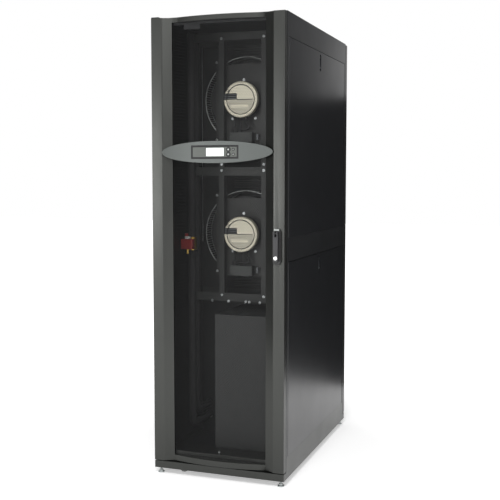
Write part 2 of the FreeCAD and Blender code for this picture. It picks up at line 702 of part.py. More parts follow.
def upright_frame():
    """Four folded posts with a step that seats the side panels and a row of mounting slots in the inner face, and the
    two channels between them that part the upper side panels from the lower."""
    wall = s.sheet_wall
    back, inner, seat = frame_front + s.post_depth, side - s.post_width, side - s.panel_seat
    outer = [(side, frame_front), (side, panel_front), (seat, panel_front), (seat, back), (inner, back),
             (inner, frame_front)]
    hollow = [(side - wall, frame_front + wall), (side - wall, panel_front - wall), (seat - wall, panel_front - wall),
              (seat - wall, back - wall), (inner + wall, back - wall), (inner + wall, frame_front + wall)]
    post = prism("post", "XY", [outer, hollow], s.base_top, band_low)
    count = int((number(band_low) - number(s.base_top)) // number(s.slot_pitch))
    slots = [box(f"post_slot_{i}", (inner - OVER, frame_front + s.post_depth / 2 - s.slot_width / 2,
                                    s.base_top + s.slot_pitch * (i + 0.5)),
                 (inner + wall + OVER, frame_front + s.post_depth / 2 + s.slot_width / 2,
                  s.base_top + s.slot_pitch * (i + 0.5) + s.slot_height)) for i in range(count)]
    posts = four_corners("posts", cut("slotted_post", post, *slots))
    rail = prism("mid_rail", "XZ", [channel(side, s.panel_seat, mid_low, mid_high)], panel_front, -panel_front)
    node("upright_frame", group("uprights", posts, rail, mirror("left_mid_rail", rail, ACROSS)))


# ---------------------------------------------------------------- side panels
def side_panel(name, low, high, left):
    """A folded tray with a latch cup near its top, and the lock barrel in the cup."""
    front, back = panel_front + s.panel_gap, -panel_front - s.panel_gap
    low, high = low + s.seat_gap, high - s.panel_gap
    inner, r, wall = side - s.panel_depth, s.panel_corner, s.skin
    tray = [(inner, front), (side - r, front, r), (side, front + r), (side, back - r, r), (side - r, back),
            (inner, back), (inner, back - wall), (side - r, back - wall, -(r - wall)),
            (side - wall, back - r), (side - wall, front + r, -(r - wall)), (side - r, front + wall),
            (inner, front + wall)]
    end = [(inner, front), (side - r, front, r), (side, front + r), (side, back - r, r), (side - r, back),
           (inner, back)]
    shell = prism(name + "_tray", "XY", [tray], low, high)
    ends = [prism(name + "_foot", "XY", [end], low, low + wall),
            prism(name + "_head", "XY", [end], high - wall, high)]
    cup_high = high - s.cup_drop
    cup_middle = cup_high - s.cup_height / 2
    floor = side - s.cup_depth
    cup_block = prism(name + "_cup", "YZ",
                      [obround(s.cup_back, cup_middle, s.cup_width + wall * 2, s.cup_height + wall * 2)],
                      floor - wall, side - wall / 2)
    hollow = prism(name + "_cup_hollow", "YZ", [obround(s.cup_back, cup_middle, s.cup_width, s.cup_height)],
                   floor, side + OVER)
    panel = cut(name + "_shell", fuse(name + "_solid", shell, *ends, cup_block), hollow)
    lock = rod(name + "_lock", s.side_lock_radius, (floor, s.cup_back, cup_high - s.cup_width / 2 - s.slider_rest),
               s.cup_depth - s.lock_sunk, "x")
    whole = group(name + "_whole", panel, lock)
    low_edge = cup_high - s.cup_height + s.cup_width / 2 + s.slider_rest
    hook = low_edge + s.slider_hook
    under, outer, lip = floor + s.key_gap, floor + s.slider_thick, floor + s.slider_thick + s.slider_lip
    slider = prism(name + "_slider", "XZ", [[(under, low_edge), (lip, low_edge), (lip, hook),
                                             (outer, hook + s.slider_slope), (outer, low_edge + s.slider_height),
                                             (under, low_edge + s.slider_height)]],
                   s.cup_back - s.slider_width / 2, s.cup_back + s.slider_width / 2)
    if left:
        whole, slider = mirror(name + "_left", whole, ACROSS), mirror(name + "_slider_left", slider, ACROSS)
    node(name, whole)
    node(name.replace("_panel", "_latch"), slider)


# ---------------------------------------------------------------- front door
CORNER_SHARE = 0.6  # of a wall, by which its inner corner moves where the band starts to slope


def stile_outline(inset=0):
    """Plan of a front door stile on the right side: strip, step, sloping band and return, moved in by a wall."""
    edge, back = side - inset, face + s.door_edge - inset
    front = face + inset
    step, valley = side - s.strip_width, mesh_half + inset
    return [(edge, back), (valley, back), (valley, bow_end + inset * CORNER_SHARE),
            (step - s.step_width, front + s.step_depth),
            (step, front), (edge, front)]


def bow_segment(back, set_back, half, low, high, name):
    """The bowed band between the stiles, from an arc at the front to a flat back."""
    arc = [(-half, back), (-half, bow_end + set_back, bow_radius), (half, bow_end + set_back), (half, back)]
    return prism(name, "XY", [arc], low, high)


def front_door():
    """Two box-section stiles, bowed top and bottom rails, and the bowed perforated panel between them."""
    wall, back = s.sheet_wall, face + s.door_edge
    stile = cut("right_stile", prism("stile_outside", "XY", [stile_outline()], door_low, door_high),
                prism("stile_inside", "XY", [stile_outline(wall)], door_low + s.cap_thick, door_high - s.cap_thick))
    rails = []
    for name, low, high in (("low", door_low, door_low + s.low_rail), ("high", door_high - s.high_rail, door_high)):
        solid = bow_segment(back, 0, mesh_half, low, high, name + "_rail_outside")
        hollow = bow_segment(back + OVER, wall, mesh_half - wall, low + wall, high - wall, name + "_rail_inside")
        rails.append(cut(name + "_rail", solid, hollow))
    bores = [rod(f"front_bore_{i}", s.pin_radius + s.running_gap, (hinge_x, hinge_y, z), s.cap_thick + OVER * 2)
             for i, z in enumerate((door_low - OVER, door_high - s.cap_thick - OVER))]
    handle = rod("front_handle_bore", s.neck_radius + s.running_gap, (handle_x, face - OVER, spindle_z),
                 s.door_edge + OVER * 2, "y")
    frame = fuse("front_frame_solid", stile, mirror("left_stile", stile, ACROSS), *rails)
    node("front_door_frame", cut("front_frame_cut", frame, *bores, handle))
    low, high = door_low + s.low_rail, door_high - s.high_rail
    outer = bow_segment(bow_end + s.mesh_set_back + s.mesh_wall, s.mesh_set_back, mesh_half, low, high,
                        "mesh_outside")
    inner = bow_segment(back, s.mesh_set_back + s.mesh_wall, mesh_half, low - OVER, high + OVER, "mesh_inside")
    panel = cut("mesh_sheet", outer, inner)
    node("front_door_mesh", cut("mesh_cut", panel, air_slots("front", mesh_half, low, high, s.slot_columns,
                                                            face - s.crest - OVER, back)))


def air_slots(name, half, low, high, columns, front, back):
    """Upright slots in columns and rows: the sheet's fine perforation drawn coarser, with the same open share."""
    margin, bridge = s.mesh_margin, s.slot_bridge
    pitch = (half - margin) * 2 / columns
    slot = pitch * s.slot_share
    rise = (high - low - margin * 2 + bridge) / s.slot_rows
    body = doc.addObject("PartDesign::Body", name + "_slots")
    x, z = -half + margin + (pitch - slot) / 2, low + margin
    first = padded(body, name + "_slot", "XZ_Plane", [rectangle(x, x + slot, z, z + rise - bridge)], front, back)
    pattern = body.newObject("PartDesign::MultiTransform", name + "_slot_pattern")
    pattern.Originals = [first]
    across = body.newObject("PartDesign::LinearPattern", name + "_across")
    across.Direction = (origin_feature(body, "X_Axis"), [""])
    bind(across, "Length", pitch * (columns - 1))
    bind(across, "Occurrences", columns)
    upwards = body.newObject("PartDesign::LinearPattern", name + "_upwards")
    upwards.Direction = (origin_feature(body, "Z_Axis"), [""])
    bind(upwards, "Length", rise * (s.slot_rows - 1))
    bind(upwards, "Occurrences", s.slot_rows)
    pattern.Transformations = [across, upwards]
    body.Tip = pattern
    return body


# ---------------------------------------------------------------- swing handles
handle_x = side - s.handle_in
handle_top = s.handle_middle + s.handle_length / 2
spindle_z = handle_top - s.spindle_down


def swing_handle(name):
    """Plate, turning spindle with its cam, lifting lever and lock barrel. The rear one is the front one mirrored."""
    seat = face - s.handle_plate
    lever_back = seat - s.lever_gap
    lever_front = lever_back - s.lever_thick
    plate = prism(name + "_plate", "XZ", [obround(handle_x, s.handle_middle, s.handle_width, s.handle_length),
                                          (handle_x, spindle_z, s.neck_radius + s.running_gap)], seat, face)
    pin_y, neck_start = lever_back - s.lever_thick / 2, seat - s.neck_gap
    cam_front = face + s.door_edge + s.cam_gap
    cam_half, tongue = s.cam_width / 2, s.tongue_width / 2
    neck = rod(name + "_neck", s.neck_radius, (handle_x, neck_start, spindle_z),
               cam_front + s.cam_thick - neck_start, "y")
    cam = box(name + "_cam", (handle_x - s.cam_length + cam_half, cam_front, spindle_z - cam_half),
              (handle_x + cam_half, cam_front + s.cam_thick, spindle_z + cam_half))
    stalk = box(name + "_stalk", (handle_x - tongue, pin_y, spindle_z - tongue),
                (handle_x + tongue, neck_start + OVER, spindle_z + tongue))
    eye = rod(name + "_eye", tongue, (handle_x - tongue, pin_y, spindle_z), s.tongue_width, "x")
    pin = rod(name + "_pin", s.lever_pin, (handle_x - s.lever_width / 2, pin_y, spindle_z), s.lever_width, "x")
    spindle = fuse(name + "_spindle_solid", neck, cam, stalk, eye, pin)
    top = spindle_z + s.lever_width / 2
    end = top - s.lever_length
    waist, half = s.lever_width * s.lever_waist, s.lever_width / 2
    shape = [(handle_x - half, end + half, half), (handle_x, end, half), (handle_x + half, end + half),
             (handle_x + half, top - s.lever_taper), (handle_x + waist, top), (handle_x - waist, top),
             (handle_x - half, top - s.lever_taper)]
    lever = prism(name + "_lever_plate", "XZ", [shape], lever_front, lever_back)
    slot_half = tongue + s.tongue_gap
    slot = box(name + "_fork_slot", (handle_x - slot_half, lever_front - OVER, spindle_z - s.fork_length),
               (handle_x + slot_half, lever_back + OVER, top + OVER))
    radius, past = s.lever_thick / 2, s.lever_width
    heel = radius * (Size(1, "1") - cosine(s.lever_lift)) / sine(s.lever_lift)
    relief = prism(name + "_relief", "YZ",
                   [[(lever_back, spindle_z + heel), (lever_back + OVER, spindle_z + heel),
                     (lever_back + OVER, spindle_z + past),
                     (pin_y + (radius - sine(s.lever_lift) * past) / cosine(s.lever_lift), spindle_z + past)]],
                   handle_x - s.lever_width, handle_x + s.lever_width)
    pin_room = rod(name + "_pin_room", s.lever_pin + s.running_gap, (handle_x - s.lever_width, pin_y, spindle_z),
                   s.lever_width * 2, "x")
    lock_z = end + s.lock_rise
    lock_room = rod(name + "_lock_room", s.handle_lock_radius, (handle_x, lever_front - OVER, lock_z),
                    s.lever_thick + OVER * 2, "y")
    lever = cut(name + "_lever_solid", lever, slot, relief, pin_room, lock_room)
    lock = rod(name + "_lock", s.handle_lock_radius, (handle_x, lever_front - s.lock_proud, lock_z),
               s.lever_thick + s.lock_proud, "y")
    pieces = {"base": plate, "spindle": spindle, "lever": lever, "lock": lock}
    if name == "rear_handle":
        pieces = {key: mirror(f"{name}_{key}_mirrored", piece, BACKWARDS) for key, piece in pieces.items()}
        pieces["lever"] = group("rear_lever_and_lock", pieces["lever"], pieces.pop("lock"))
    for key, piece in pieces.items():
        node(f"{name}_{key}", piece)


# ---------------------------------------------------------------- display
def display():
    """Oval bezel that bows with the door, keypad panel, screen and four keys."""
    tip, crown = face - s.bezel_tip, face - s.bezel_front
    half, rise = side - s.bezel_in, s.bezel_front - s.bezel_tip
    radius = (half * half + rise * rise) / (rise * 2)
    low, high = bezel_middle - s.bezel_height / 2, bezel_middle + s.bezel_height / 2
    slab = prism("bezel_slab", "XY", [[(-half, face), (-half, tip, radius), (half, tip), (half, face)]], low, high)
    room_half, room_height = s.window_length / 2, s.window_height / 2
    pocket = box("bezel_pocket", (-room_half, crown - OVER, bezel_middle - room_height),
                 (room_half, crown + s.window_depth, bezel_middle + room_height))
    bow = bow_segment(face + s.door_edge, s.mesh_set_back, mesh_half, low - OVER, high + OVER, "bezel_bow")
    shape = common("bezel_common", slab, oval("bezel_oval", half, s.bezel_height / 2, crown - OVER, face + OVER))
    node("display_bezel", cut("bezel_cut", shape, pocket, bow))
    gap, floor = s.window_gap, crown + s.window_depth
    panel_front = floor - s.panel_thick
    lcd_room = [s.lcd_length / 2, s.lcd_height / 2]
    keys = {"up_key": (s.key_right, s.key_rise, s.key_radius), "down_key": (s.key_right, -s.key_rise, s.key_radius),
            "enter_key": (s.small_key_right, s.key_rise, s.small_key_radius),
            "escape_key": (s.small_key_right, -s.key_rise, s.small_key_radius)}
    panel = box("keypad_block", (-room_half + gap, panel_front, bezel_middle - room_height + gap),
                (room_half - gap, floor, bezel_middle + room_height - gap))
    recess = box("lcd_recess", (s.lcd_right - lcd_room[0], panel_front - OVER, bezel_middle - lcd_room[1]),
                 (s.lcd_right + lcd_room[0], panel_front + s.lcd_thick, bezel_middle + lcd_room[1]))
    key_depth = s.panel_thick - s.keypad_floor
    holes = [rod(f"{name}_hole", r + s.key_gap, (x, panel_front - OVER, bezel_middle + z), key_depth + OVER, "y")
             for name, (x, z, r) in keys.items()]
    node("display_panel", cut("keypad_cut", panel, recess, *holes))
    node("display_screen", box("lcd", (s.lcd_right - lcd_room[0], panel_front, bezel_middle - lcd_room[1]),
                               (s.lcd_right + lcd_room[0], panel_front + s.lcd_thick, bezel_middle + lcd_room[1])))
    for name, (x, z, r) in keys.items():
        node(name, rod(f"{name}_cap", r, (x, panel_front - s.key_proud, bezel_middle + z),
                       s.key_proud + key_depth - s.key_travel - s.key_room, "y"))


def oval(name, half, half_height, front, back):
    """A flat oval block seen from the front."""
    edge = doc.addObject("Part::Ellipse", name + "_edge")
    bind(edge, "MajorRadius", half)
    bind(edge, "MinorRadius", half_height)
    place(edge, (0, back, bezel_middle), TO_VIEWER)
    block = doc.addObject("Part::Extrusion", name)
    block.Base = edge
    block.DirMode = "Custom"
    block.Dir = Vector(0, -1, 0)
    block.Solid = True
    bind(block, "LengthFwd", back - front)
    return block


# ---------------------------------------------------------------- rear door
def rear_door():
    """Two box-section stiles, two rails and a flat perforated panel."""
    wall, front, back = s.sheet_wall, -face - s.door_edge, -face
    inner = side - s.rear_stile
    stile = cut("rear_stile", prism("rear_stile_outside", "XY", [rectangle(inner, side, front, back)],
                                    door_low, door_high),
                prism("rear_stile_inside", "XY", [rectangle(inner + wall, side - wall, front + wall, back - wall)],
                      door_low + s.cap_thick, door_high - s.cap_thick))
    rails = []
    for name, low, high in (("low", door_low, door_low + s.low_rail), ("high", door_high - s.high_rail, door_high)):
        outside = box(f"rear_{name}_rail_outside", (-inner, front, low), (inner, back, high))
        inside = box(f"rear_{name}_rail_inside", (-inner + wall, front - OVER, low + wall),
                     (inner - wall, back - wall, high - wall))
        rails.append(cut(f"rear_{name}_rail", outside, inside))
    bores = [rod(f"rear_bore_{i}", s.pin_radius + s.running_gap, (hinge_x, -hinge_y, z), s.cap_thick + OVER * 2)
             for i, z in enumerate((door_low - OVER, door_high - s.cap_thick - OVER))]
    handle = rod("rear_handle_bore", s.neck_radius + s.running_gap, (handle_x, front - OVER, spindle_z),
                 s.door_edge + OVER * 2, "y")
    frame = fuse("rear_frame_solid", stile, mirror("rear_left_stile", stile, ACROSS), *rails)
    node("rear_door_frame", cut("rear_frame_cut", frame, *bores, handle))
    low, high, outer = door_low + s.low_rail, door_high - s.high_rail, back - s.mesh_set_back
    panel = box("rear_mesh_sheet", (-inner, outer - s.mesh_wall, low), (inner, outer, high))
    slots = air_slots("rear", inner, low, high, s.slot_columns, front, back + OVER)
    node("rear_door_mesh", cut("rear_mesh_cut", panel, slots))


# ---------------------------------------------------------------- fan deck
def facing(name, piece, height, y, turn):
    """Stands a piece modelled about Z on a fan's axis."""
    return place(piece, (0, y, height), turn)


def duct_liners():
    """The sheets that line both sides of the air duct in front of the bulkhead."""
    front = frame_front + s.post_depth + s.liner_gap
    low = s.shelf_height + s.frame_wall
    liner = box("liner", (duct_half, front, low), (duct_half + s.skin, bulkhead_face, roof_low))
    node("duct_liners", group("liners", liner, mirror("left_liner", liner, ACROSS)))


def fan_bulkhead():
    """The wall between coil and fans: a flanged sheet with two fan openings and two pipe holes."""
    half, wall = side - s.rail_depth, s.sheet_wall
    back = bulkhead_face + s.bulkhead_flange
    fold = [(-half, bulkhead_face), (half, bulkhead_face), (half, back), (half - wall, back),
            (half - wall, bulkhead_face + wall), (-half + wall, bulkhead_face + wall), (-half + wall, back),
            (-half, back)]
    sheet_metal = prism("bulkhead_sheet", "XY", [fold], plinth_top, roof_low)
    openings = [rod(f"{name}_fan_opening", s.nozzle_mouth, (0, bulkhead_face - OVER, height), wall + OVER * 2, "y")
                for name, height in FANS.items()]
    pipes = [rod(f"pipe_hole_{i}", s.pipe_radius + s.pipe_room,
                 (pipe_x, bulkhead_face - OVER, s.pipe_low + s.pipe_rise * i), wall + OVER * 2, "y")
             for i in range(2)]
    node("fan_bulkhead", cut("bulkhead_cut", sheet_metal, *openings, *pipes))


def fan_frame():
    """Welded frame of three trays and two uprights that carries the motor brackets in front of the bulkhead."""
    wall, depth = s.sheet_wall, s.upright_depth
    trays = []
    for name, low, rise in (("low", s.shelf_low, s.shelf_low_height), ("mid", shelf_mid, s.shelf_mid_height),
                            ("high", shelf_high, s.shelf_high_height)):
        fold = [(deck_face, low), (bulkhead_face, low), (bulkhead_face, low + rise),
                (bulkhead_face - wall, low + rise),
                (bulkhead_face - wall, low + wall), (deck_face + wall, low + wall), (deck_face + wall, low + rise),
                (deck_face, low + rise)]
        trays.append(prism(f"{name}_tray", "YZ", [fold], -duct_half, duct_half))
    middle, half = s.upright_middle, s.upright_width / 2
    channel_plan = [(middle - half, deck_face), (middle + half, deck_face), (middle + half, deck_face + depth),
                    (middle + half - wall, deck_face + depth), (middle + half - wall, deck_face + wall),
                    (middle - half + wall, deck_face + wall), (middle - half + wall, deck_face + depth),
                    (middle - half, deck_face + depth)]
    upright = prism("upright", "XY", [channel_plan], s.shelf_low + wall, shelf_high + s.shelf_high_height)
    pipes = [rod(f"tray_hole_{i}", s.pipe_radius + s.pipe_room,
                 (pipe_x, pipe_y + s.pipe_spacing * i, s.shelf_low - OVER),
                 shelf_high + s.shelf_high_height - s.shelf_low + OVER * 2) for i in range(2)]
    frame = fuse("fan_frame_solid", *trays, upright, mirror("left_upright", upright, ACROSS))
    node("fan_frame", cut("fan_frame_cut", frame, *pipes))


def fan_brackets():
    """A plate behind the uprights for each motor: its top edge is cut down between two ears, and its foot is folded
    towards the front."""
    plates = []
    wall, half, inner = s.sheet_wall, s.bracket_half, s.upright_middle - s.upright_width / 2
    for name, height in FANS.items():
        low, high, ear = height - s.bracket_down, height + s.bracket_up, height + s.bracket_ear
        shape = [(-half, low), (half, low), (half, ear), (inner, ear), (inner, high), (-inner, high), (-inner, ear),
                 (-half, ear)]
        plate = prism(name + "_bracket", "XZ", [shape, (0, height, s.stator_radius + s.seat_gap)],
                      bracket_face, bracket_face + wall)
        fold = box(name + "_bracket_fold", (-inner, bracket_face - s.bracket_flange, low),
                   (inner, bracket_face + wall, low + wall))
        plates.append(fuse(name + "_bracket_solid", plate, fold))
    node("fan_brackets", group("brackets", *plates))


def fan_motors():
    """External-rotor motors: a round body with its electronics cap in front of the bracket, a stator boss and axle
    behind it, and cable glands under the body."""
    motors = []
    r, cap, body, boss, axle = s.motor_radius, s.motor_cap, s.motor_body, s.stator_radius, s.axle_radius
    reach, total = s.motor_reach, s.motor_reach + s.stator_depth
    for name, height in FANS.items():
        profile = [(0, 0), (r - s.cap_edge, 0), (r, s.cap_slope), (r, cap), (body, cap), (body, reach), (boss, reach),
                   (boss, total), (axle, total), (axle, total + s.axle_length), (0, total + s.axle_length)]
        motor = facing(name, lathe(name + "_motor", profile), height, bracket_face - reach, TURN_X["y"])
        glands = [rod(f"{name}_gland_{i}", s.cable_radius + s.gland_wall, (x, gland_y, height - r - s.gland_drop),
                      s.gland_length) for i, x in enumerate((-s.gland_left, s.gland_right))]
        motors.append(fuse(name + "_motor_solid", motor, *glands))
    node("fan_motors", group("motors", *motors))


def junction_boxes():
    """A terminal box at the foot of each bracket."""
    boxes = []
    for name, height in FANS.items():
        middle = height - s.box_drop
        boxes.append(box(name + "_junction_box",
                         (-s.box_length / 2 - s.box_left, bracket_face - s.box_depth, middle - s.box_height / 2),
                         (s.box_length / 2 - s.box_left, bracket_face, middle + s.box_height / 2)))
    node("junction_boxes", group("boxes", *boxes))


CABLE_BEND, CABLE_SHIFT = 5, 4  # radius of a bend and shift to the side, in cable radii


def motor_cables():
    """A cable from each motor's first gland down to its junction box, an S of two equal arcs."""
    cables = []
    start, radius, shift = -s.gland_left, s.cable_radius * CABLE_BEND, s.cable_radius * CABLE_SHIFT
    drop = radius * math.sin(math.acos(1 - CABLE_SHIFT / CABLE_BEND / 2))
    for name, height in FANS.items():
        top, low = height - s.motor_radius - s.gland_drop, height - s.box_drop + s.box_height / 2
        middle = (top + low) / 2
        path = [(start, top), (start, middle + drop, radius), (shift / 2 + start, middle, -radius),
                (shift + start, middle - drop), (shift + start, low)]
        cables.append(pipe(name + "_cable", "XZ", gland_y, path, s.cable_radius))
    node("motor_cables", group("cables", *cables))


def pipe(name, plane, offset, path, radius):
    """A round tube swept along a path in a plane; the path starts straight up or down."""
    body = doc.addObject("PartDesign::Body", name)
    spine = new_sketch(body, name + "_path", plane + "_Plane", -offset if plane == "XZ" else offset)
    outline(spine, path, closed=False)
    x, y = (path[0][0], offset) if plane == "XZ" else (offset, path[0][0])
    section = new_sketch(body, name + "_section", "XY_Plane", path[0][1])
    ring(section, x, y, radius)
    sweep = body.newObject("PartDesign::AdditivePipe", name + "_sweep")
    sweep.Profile = section
    sweep.Spine = spine
    return body


def inlet_rings():
    """The bell-shaped nozzles on the bulkhead that lead the air into the fan wheels."""
    mouth, throat, reach, wall = s.nozzle_mouth, s.nozzle_throat, s.nozzle_reach, s.sheet_wall
    waist, turn = throat + s.nozzle_taper, reach * s.nozzle_turn
    profile = [(mouth, 0), (mouth + s.nozzle_flange, 0), (mouth + s.nozzle_flange, wall), (mouth + wall, wall),
               (waist + wall, turn), (throat + wall, reach), (throat, reach), (waist, turn - wall / 2)]
    rings = [facing(name, lathe(name + "_nozzle", profile), height, bulkhead_face, TO_VIEWER)
             for name, height in FANS.items()]
    node("inlet_rings", group("nozzles", *rings))


def fan_cages():
    """Round guards of long bars between two rings, standing on the bulkhead."""
    cages = []
    r, wire, bar, depth = s.cage_radius, s.cage_wire, s.cage_bar, s.cage_depth
    for name, height in FANS.items():
        hoops = [lathe(f"{name}_hoop_{i}", rectangle(r - wire, r, low, low + wire))
                 for i, low in enumerate((0, depth - wire))]
        body = doc.addObject("PartDesign::Body", name + "_bars")
        middle = r - wire / 2
        section = rectangle(middle - bar / 2, middle + bar / 2, -bar / 2, bar / 2)
        first = padded(body, name + "_bar", "XY_Plane", [section], wire / 2, depth - wire / 2)
        repeat_round(body, name + "_bar", first, s.cage_bars)
        cages.append(facing(name, fuse(name + "_cage", *hoops, body), height, bulkhead_face, TO_VIEWER))
    node("fan_cages", group("cages", *cages))


BLADE_LEAN = 38  # degrees from a blade's root round to its tip
ACROSS_BLADE = (-0.8, 0.6)  # direction of a blade's thickness


def fan_wheel(name, height):
    """Backward-curved fan wheel: hub plate and boss, swept blades and a bell-shaped inlet shroud."""
    r, width, wall, eye = s.wheel_radius, s.wheel_width, s.blade_wall, s.eye_radius
    bore = s.axle_radius + s.running_gap
    rise, boss = s.shroud_rise, s.axle_length - s.wheel_gap
    hub = lathe(name + "_hub", [(bore, 0), (r, 0), (r, wall), (s.hub_radius + s.hub_foot, wall), (s.hub_radius, boss),
                                (bore, boss)])
    shroud = lathe(name + "_shroud", [(r, width - rise - wall), (r, width - rise), (eye + wall, width), (eye, width),
                                      (eye, width - wall)])
    body = doc.addObject("PartDesign::Body", name + "_blades")
    inner, outer = eye, r - wall / 2
    lean = math.radians(BLADE_LEAN)
    tip = (outer * math.cos(lean), outer * math.sin(lean))
    behind = (wall * ACROSS_BLADE[0], wall * ACROSS_BLADE[1])
    blade = padded(body, name + "_blade", "XY_Plane",
                   [[(inner, 0), tip, (tip[0] + behind[0], tip[1] + behind[1]), (inner + behind[0], behind[1])]],
                   wall / 2, width)
    repeat_round(body, name + "_blade", blade, s.blade_count)
    envelope = lathe(name + "_envelope", [(0, 0), (r, 0), (r, width - rise - wall / 2), (eye, width - wall / 2),
                                          (0, width - wall / 2)])
    blades = common(name + "_blades_trimmed", body, envelope)
    wheel = fuse(name + "_solid", hub, shroud, blades)
    front = bracket_face + s.stator_depth + s.wheel_gap
    node(name, place(wheel, (0, front, height), TURN_X["y"]))


# ---------------------------------------------------------------- electrical box
def electrical_box():
    """Enclosure for the controls in front of the bulkhead, with a screwed-on cover."""
    wall, low = s.sheet_wall, s.shelf_height + s.frame_wall
    left, right, high = s.ebox_left, side - s.ebox_in, s.ebox_high
    front = face + s.ebox_back
    outside = box("ebox_outside", (left + wall, front + wall, low + wall), (right - wall, bulkhead_face, high - wall))
    inside = box("ebox_inside", (left + wall * 2, front, low + wall * 2),
                 (right - wall * 2, bulkhead_face - wall, high - wall * 2))
    node("electrical_box", cut("ebox_cut", outside, inside))
    cover = box("cover_outside", (left, front, low), (right, front + s.cover_lip, high))
    hollow = box("cover_inside", (left + wall, front + wall, low + wall),
                 (right - wall, front + s.cover_lip + OVER, high - wall))
    node("electrical_box_cover", cut("cover_cut", cover, hollow))


# ---------------------------------------------------------------- coil, filters and pipes
coil_front = face + s.coil_start
coil_back = coil_front + s.coil_depth
pan_floor = s.base_top - s.pan_height
header_ys = (coil_front + s.coil_depth / 4, coil_back - s.coil_depth / 4)


STUBS, FIRST_STUB = 4, 0.2  # tubes from each header into the coil, and where the first one sits in its share


def cooling_coil():
    """Finned block between two end plates, with return bends on the right and two headers on the left."""
    half, wall = side - s.coil_in, s.sheet_wall
    fins = box("fins", (-half, coil_front, s.coil_low), (half, coil_back, coil_high))
    plate = box("end_plate", (half, coil_front - s.plate_rim, pan_floor + s.pan_wall),
                (half + wall, coil_back + s.plate_rim, coil_high + s.plate_rim))
    start, bends = half + wall, []
    pitch = (coil_high - s.coil_low) / s.bend_count
    outer, inner = s.bend_radius + s.tube_radius, s.bend_radius - s.tube_radius
    for i in range(int(number(s.bend_count))):
        middle, y = s.coil_low + pitch * (i + 0.5), header_ys[i % 2]
        bend = [(start, middle - outer, outer), (start + outer, middle, outer), (start, middle + outer),
                (start, middle + inner, -inner), (start + inner, middle, -inner), (start, middle - inner)]
        bends.append(prism(f"return_bend_{i}", "XZ", [bend], y - s.tube_radius, y + s.tube_radius))
    tubes = []
    for i, y in enumerate(header_ys):
        header = rod(f"header_{i}", s.header_radius, (pipe_x, y, header_low), coil_high - header_low - s.header_drop)
        pitch = (coil_high - header_low) / STUBS
        stubs = [rod(f"stub_{i}_{k}", s.tube_radius, (pipe_x, y, header_low + pitch * (k + FIRST_STUB)),
                     -half - wall - pipe_x, "x") for k in range(STUBS)]
        tubes.append(fuse(f"header_with_stubs_{i}", header, *stubs))
    node("cooling_coil", group("coil", fins, plate, mirror("left_end_plate", plate, ACROSS), *bends, *tubes))


header_low = s.pipe_low + s.pipe_rise + s.pipe_bend + s.header_rise


def drain_pan():
    """Shallow tray under the coil, hung by its lips from the base rails."""
    wall, half, front, back = s.pan_wall, side - s.pan_in, coil_front - s.pan_margin, coil_back + s.pan_margin
    tray = cut("pan_tray", box("pan_outside", (-half, front, pan_floor), (half, back, s.base_top + wall)),
               box("pan_inside", (-half + wall, front + wall, pan_floor + wall),
                   (half - wall, back - wall, s.base_top + wall * 2)))
    lip = box("pan_lip", (half - wall, front, s.base_top), (half + s.pan_lip, back, s.base_top + wall))
    node("drain_pan", fuse("pan_solid", tray, lip, mirror("left_pan_lip", lip, ACROSS)))


def air_filters():
    """Two framed pleated filters, one above the other, behind the coil."""
    half, low, high = side - s.filter_in, s.base_top, band_low - s.filter_gap
    front, back = face + s.filter_start, face + s.filter_start + s.filter_depth
    middle, rim, recess = (low + high) / 2, s.filter_frame, s.filter_recess
    filters = []
    for name, bottom, top in (("lower", low, middle), ("upper", middle, high)):
        block = box(f"{name}_filter", (-half, front, bottom), (half, back, top))
        rooms = [box(f"{name}_filter_room_{i}", (-half + rim, y0, bottom + rim), (half - rim, y1, top - rim))
                 for i, (y0, y1) in enumerate(((front - OVER, front + recess), (back - recess, back + OVER)))]
        filters.append(cut(f"{name}_filter_cut", block, *rooms))
    node("air_filters", group("filters", *filters))


def pipework():
    """Supply and return pipes: down the left wall from the roof, back under the duct and up into the headers."""
    r, bend = s.pipe_radius, s.pipe_bend
    pipes = []
    for i, (start, end, low) in enumerate(((pipe_y, header_ys[1], s.pipe_low),
                                           (pipe_y + s.pipe_spacing, header_ys[0], s.pipe_low + s.pipe_rise))):
        path = [(start, pipe_top), (start, low + bend, bend), (start + bend, low), (end - bend, low, bend),
                (end, low + bend), (end, header_low)]
        pipes.append(pipe(f"pipe_{i}", "YZ", pipe_x, path, r))
    node("pipework", group("pipes", *pipes))


pipe_top = s.height - s.pipe_end


def control_valve():
    """Brass valve body round the front pipe, with the stem that its actuator turns."""
    bore, middle = s.pipe_radius + s.running_gap, s.valve_middle
    sleeve = lathe("valve_sleeve", rectangle(bore, bore + s.valve_wall, -s.valve_half, s.valve_half))
    place(sleeve, (pipe_x, pipe_y, middle))
    stem = rod("valve_stem", s.valve_radius, (pipe_x, actuator_back, middle), pipe_y - bore - OVER - actuator_back,
               "y")
    node("control_valve", fuse("valve_solid", sleeve, stem))


actuator_back = pipe_y - s.pipe_radius - s.stem_length


def valve_actuator():
    """Motor that turns the valve, on the end of its stem."""
    half, rise = s.actuator_width / 2, s.actuator_height / 2
    housing = box("actuator_housing", (pipe_x - half, actuator_back - s.actuator_depth, s.valve_middle - rise),
                  (pipe_x + half, actuator_back, s.valve_middle + rise))
    knob = rod("actuator_knob", half / 3,
               (pipe_x, actuator_back - s.actuator_depth / 2, s.valve_middle + rise - OVER),
               s.knob_height + OVER)
    node("valve_actuator", fuse("actuator_solid", housing, knob))


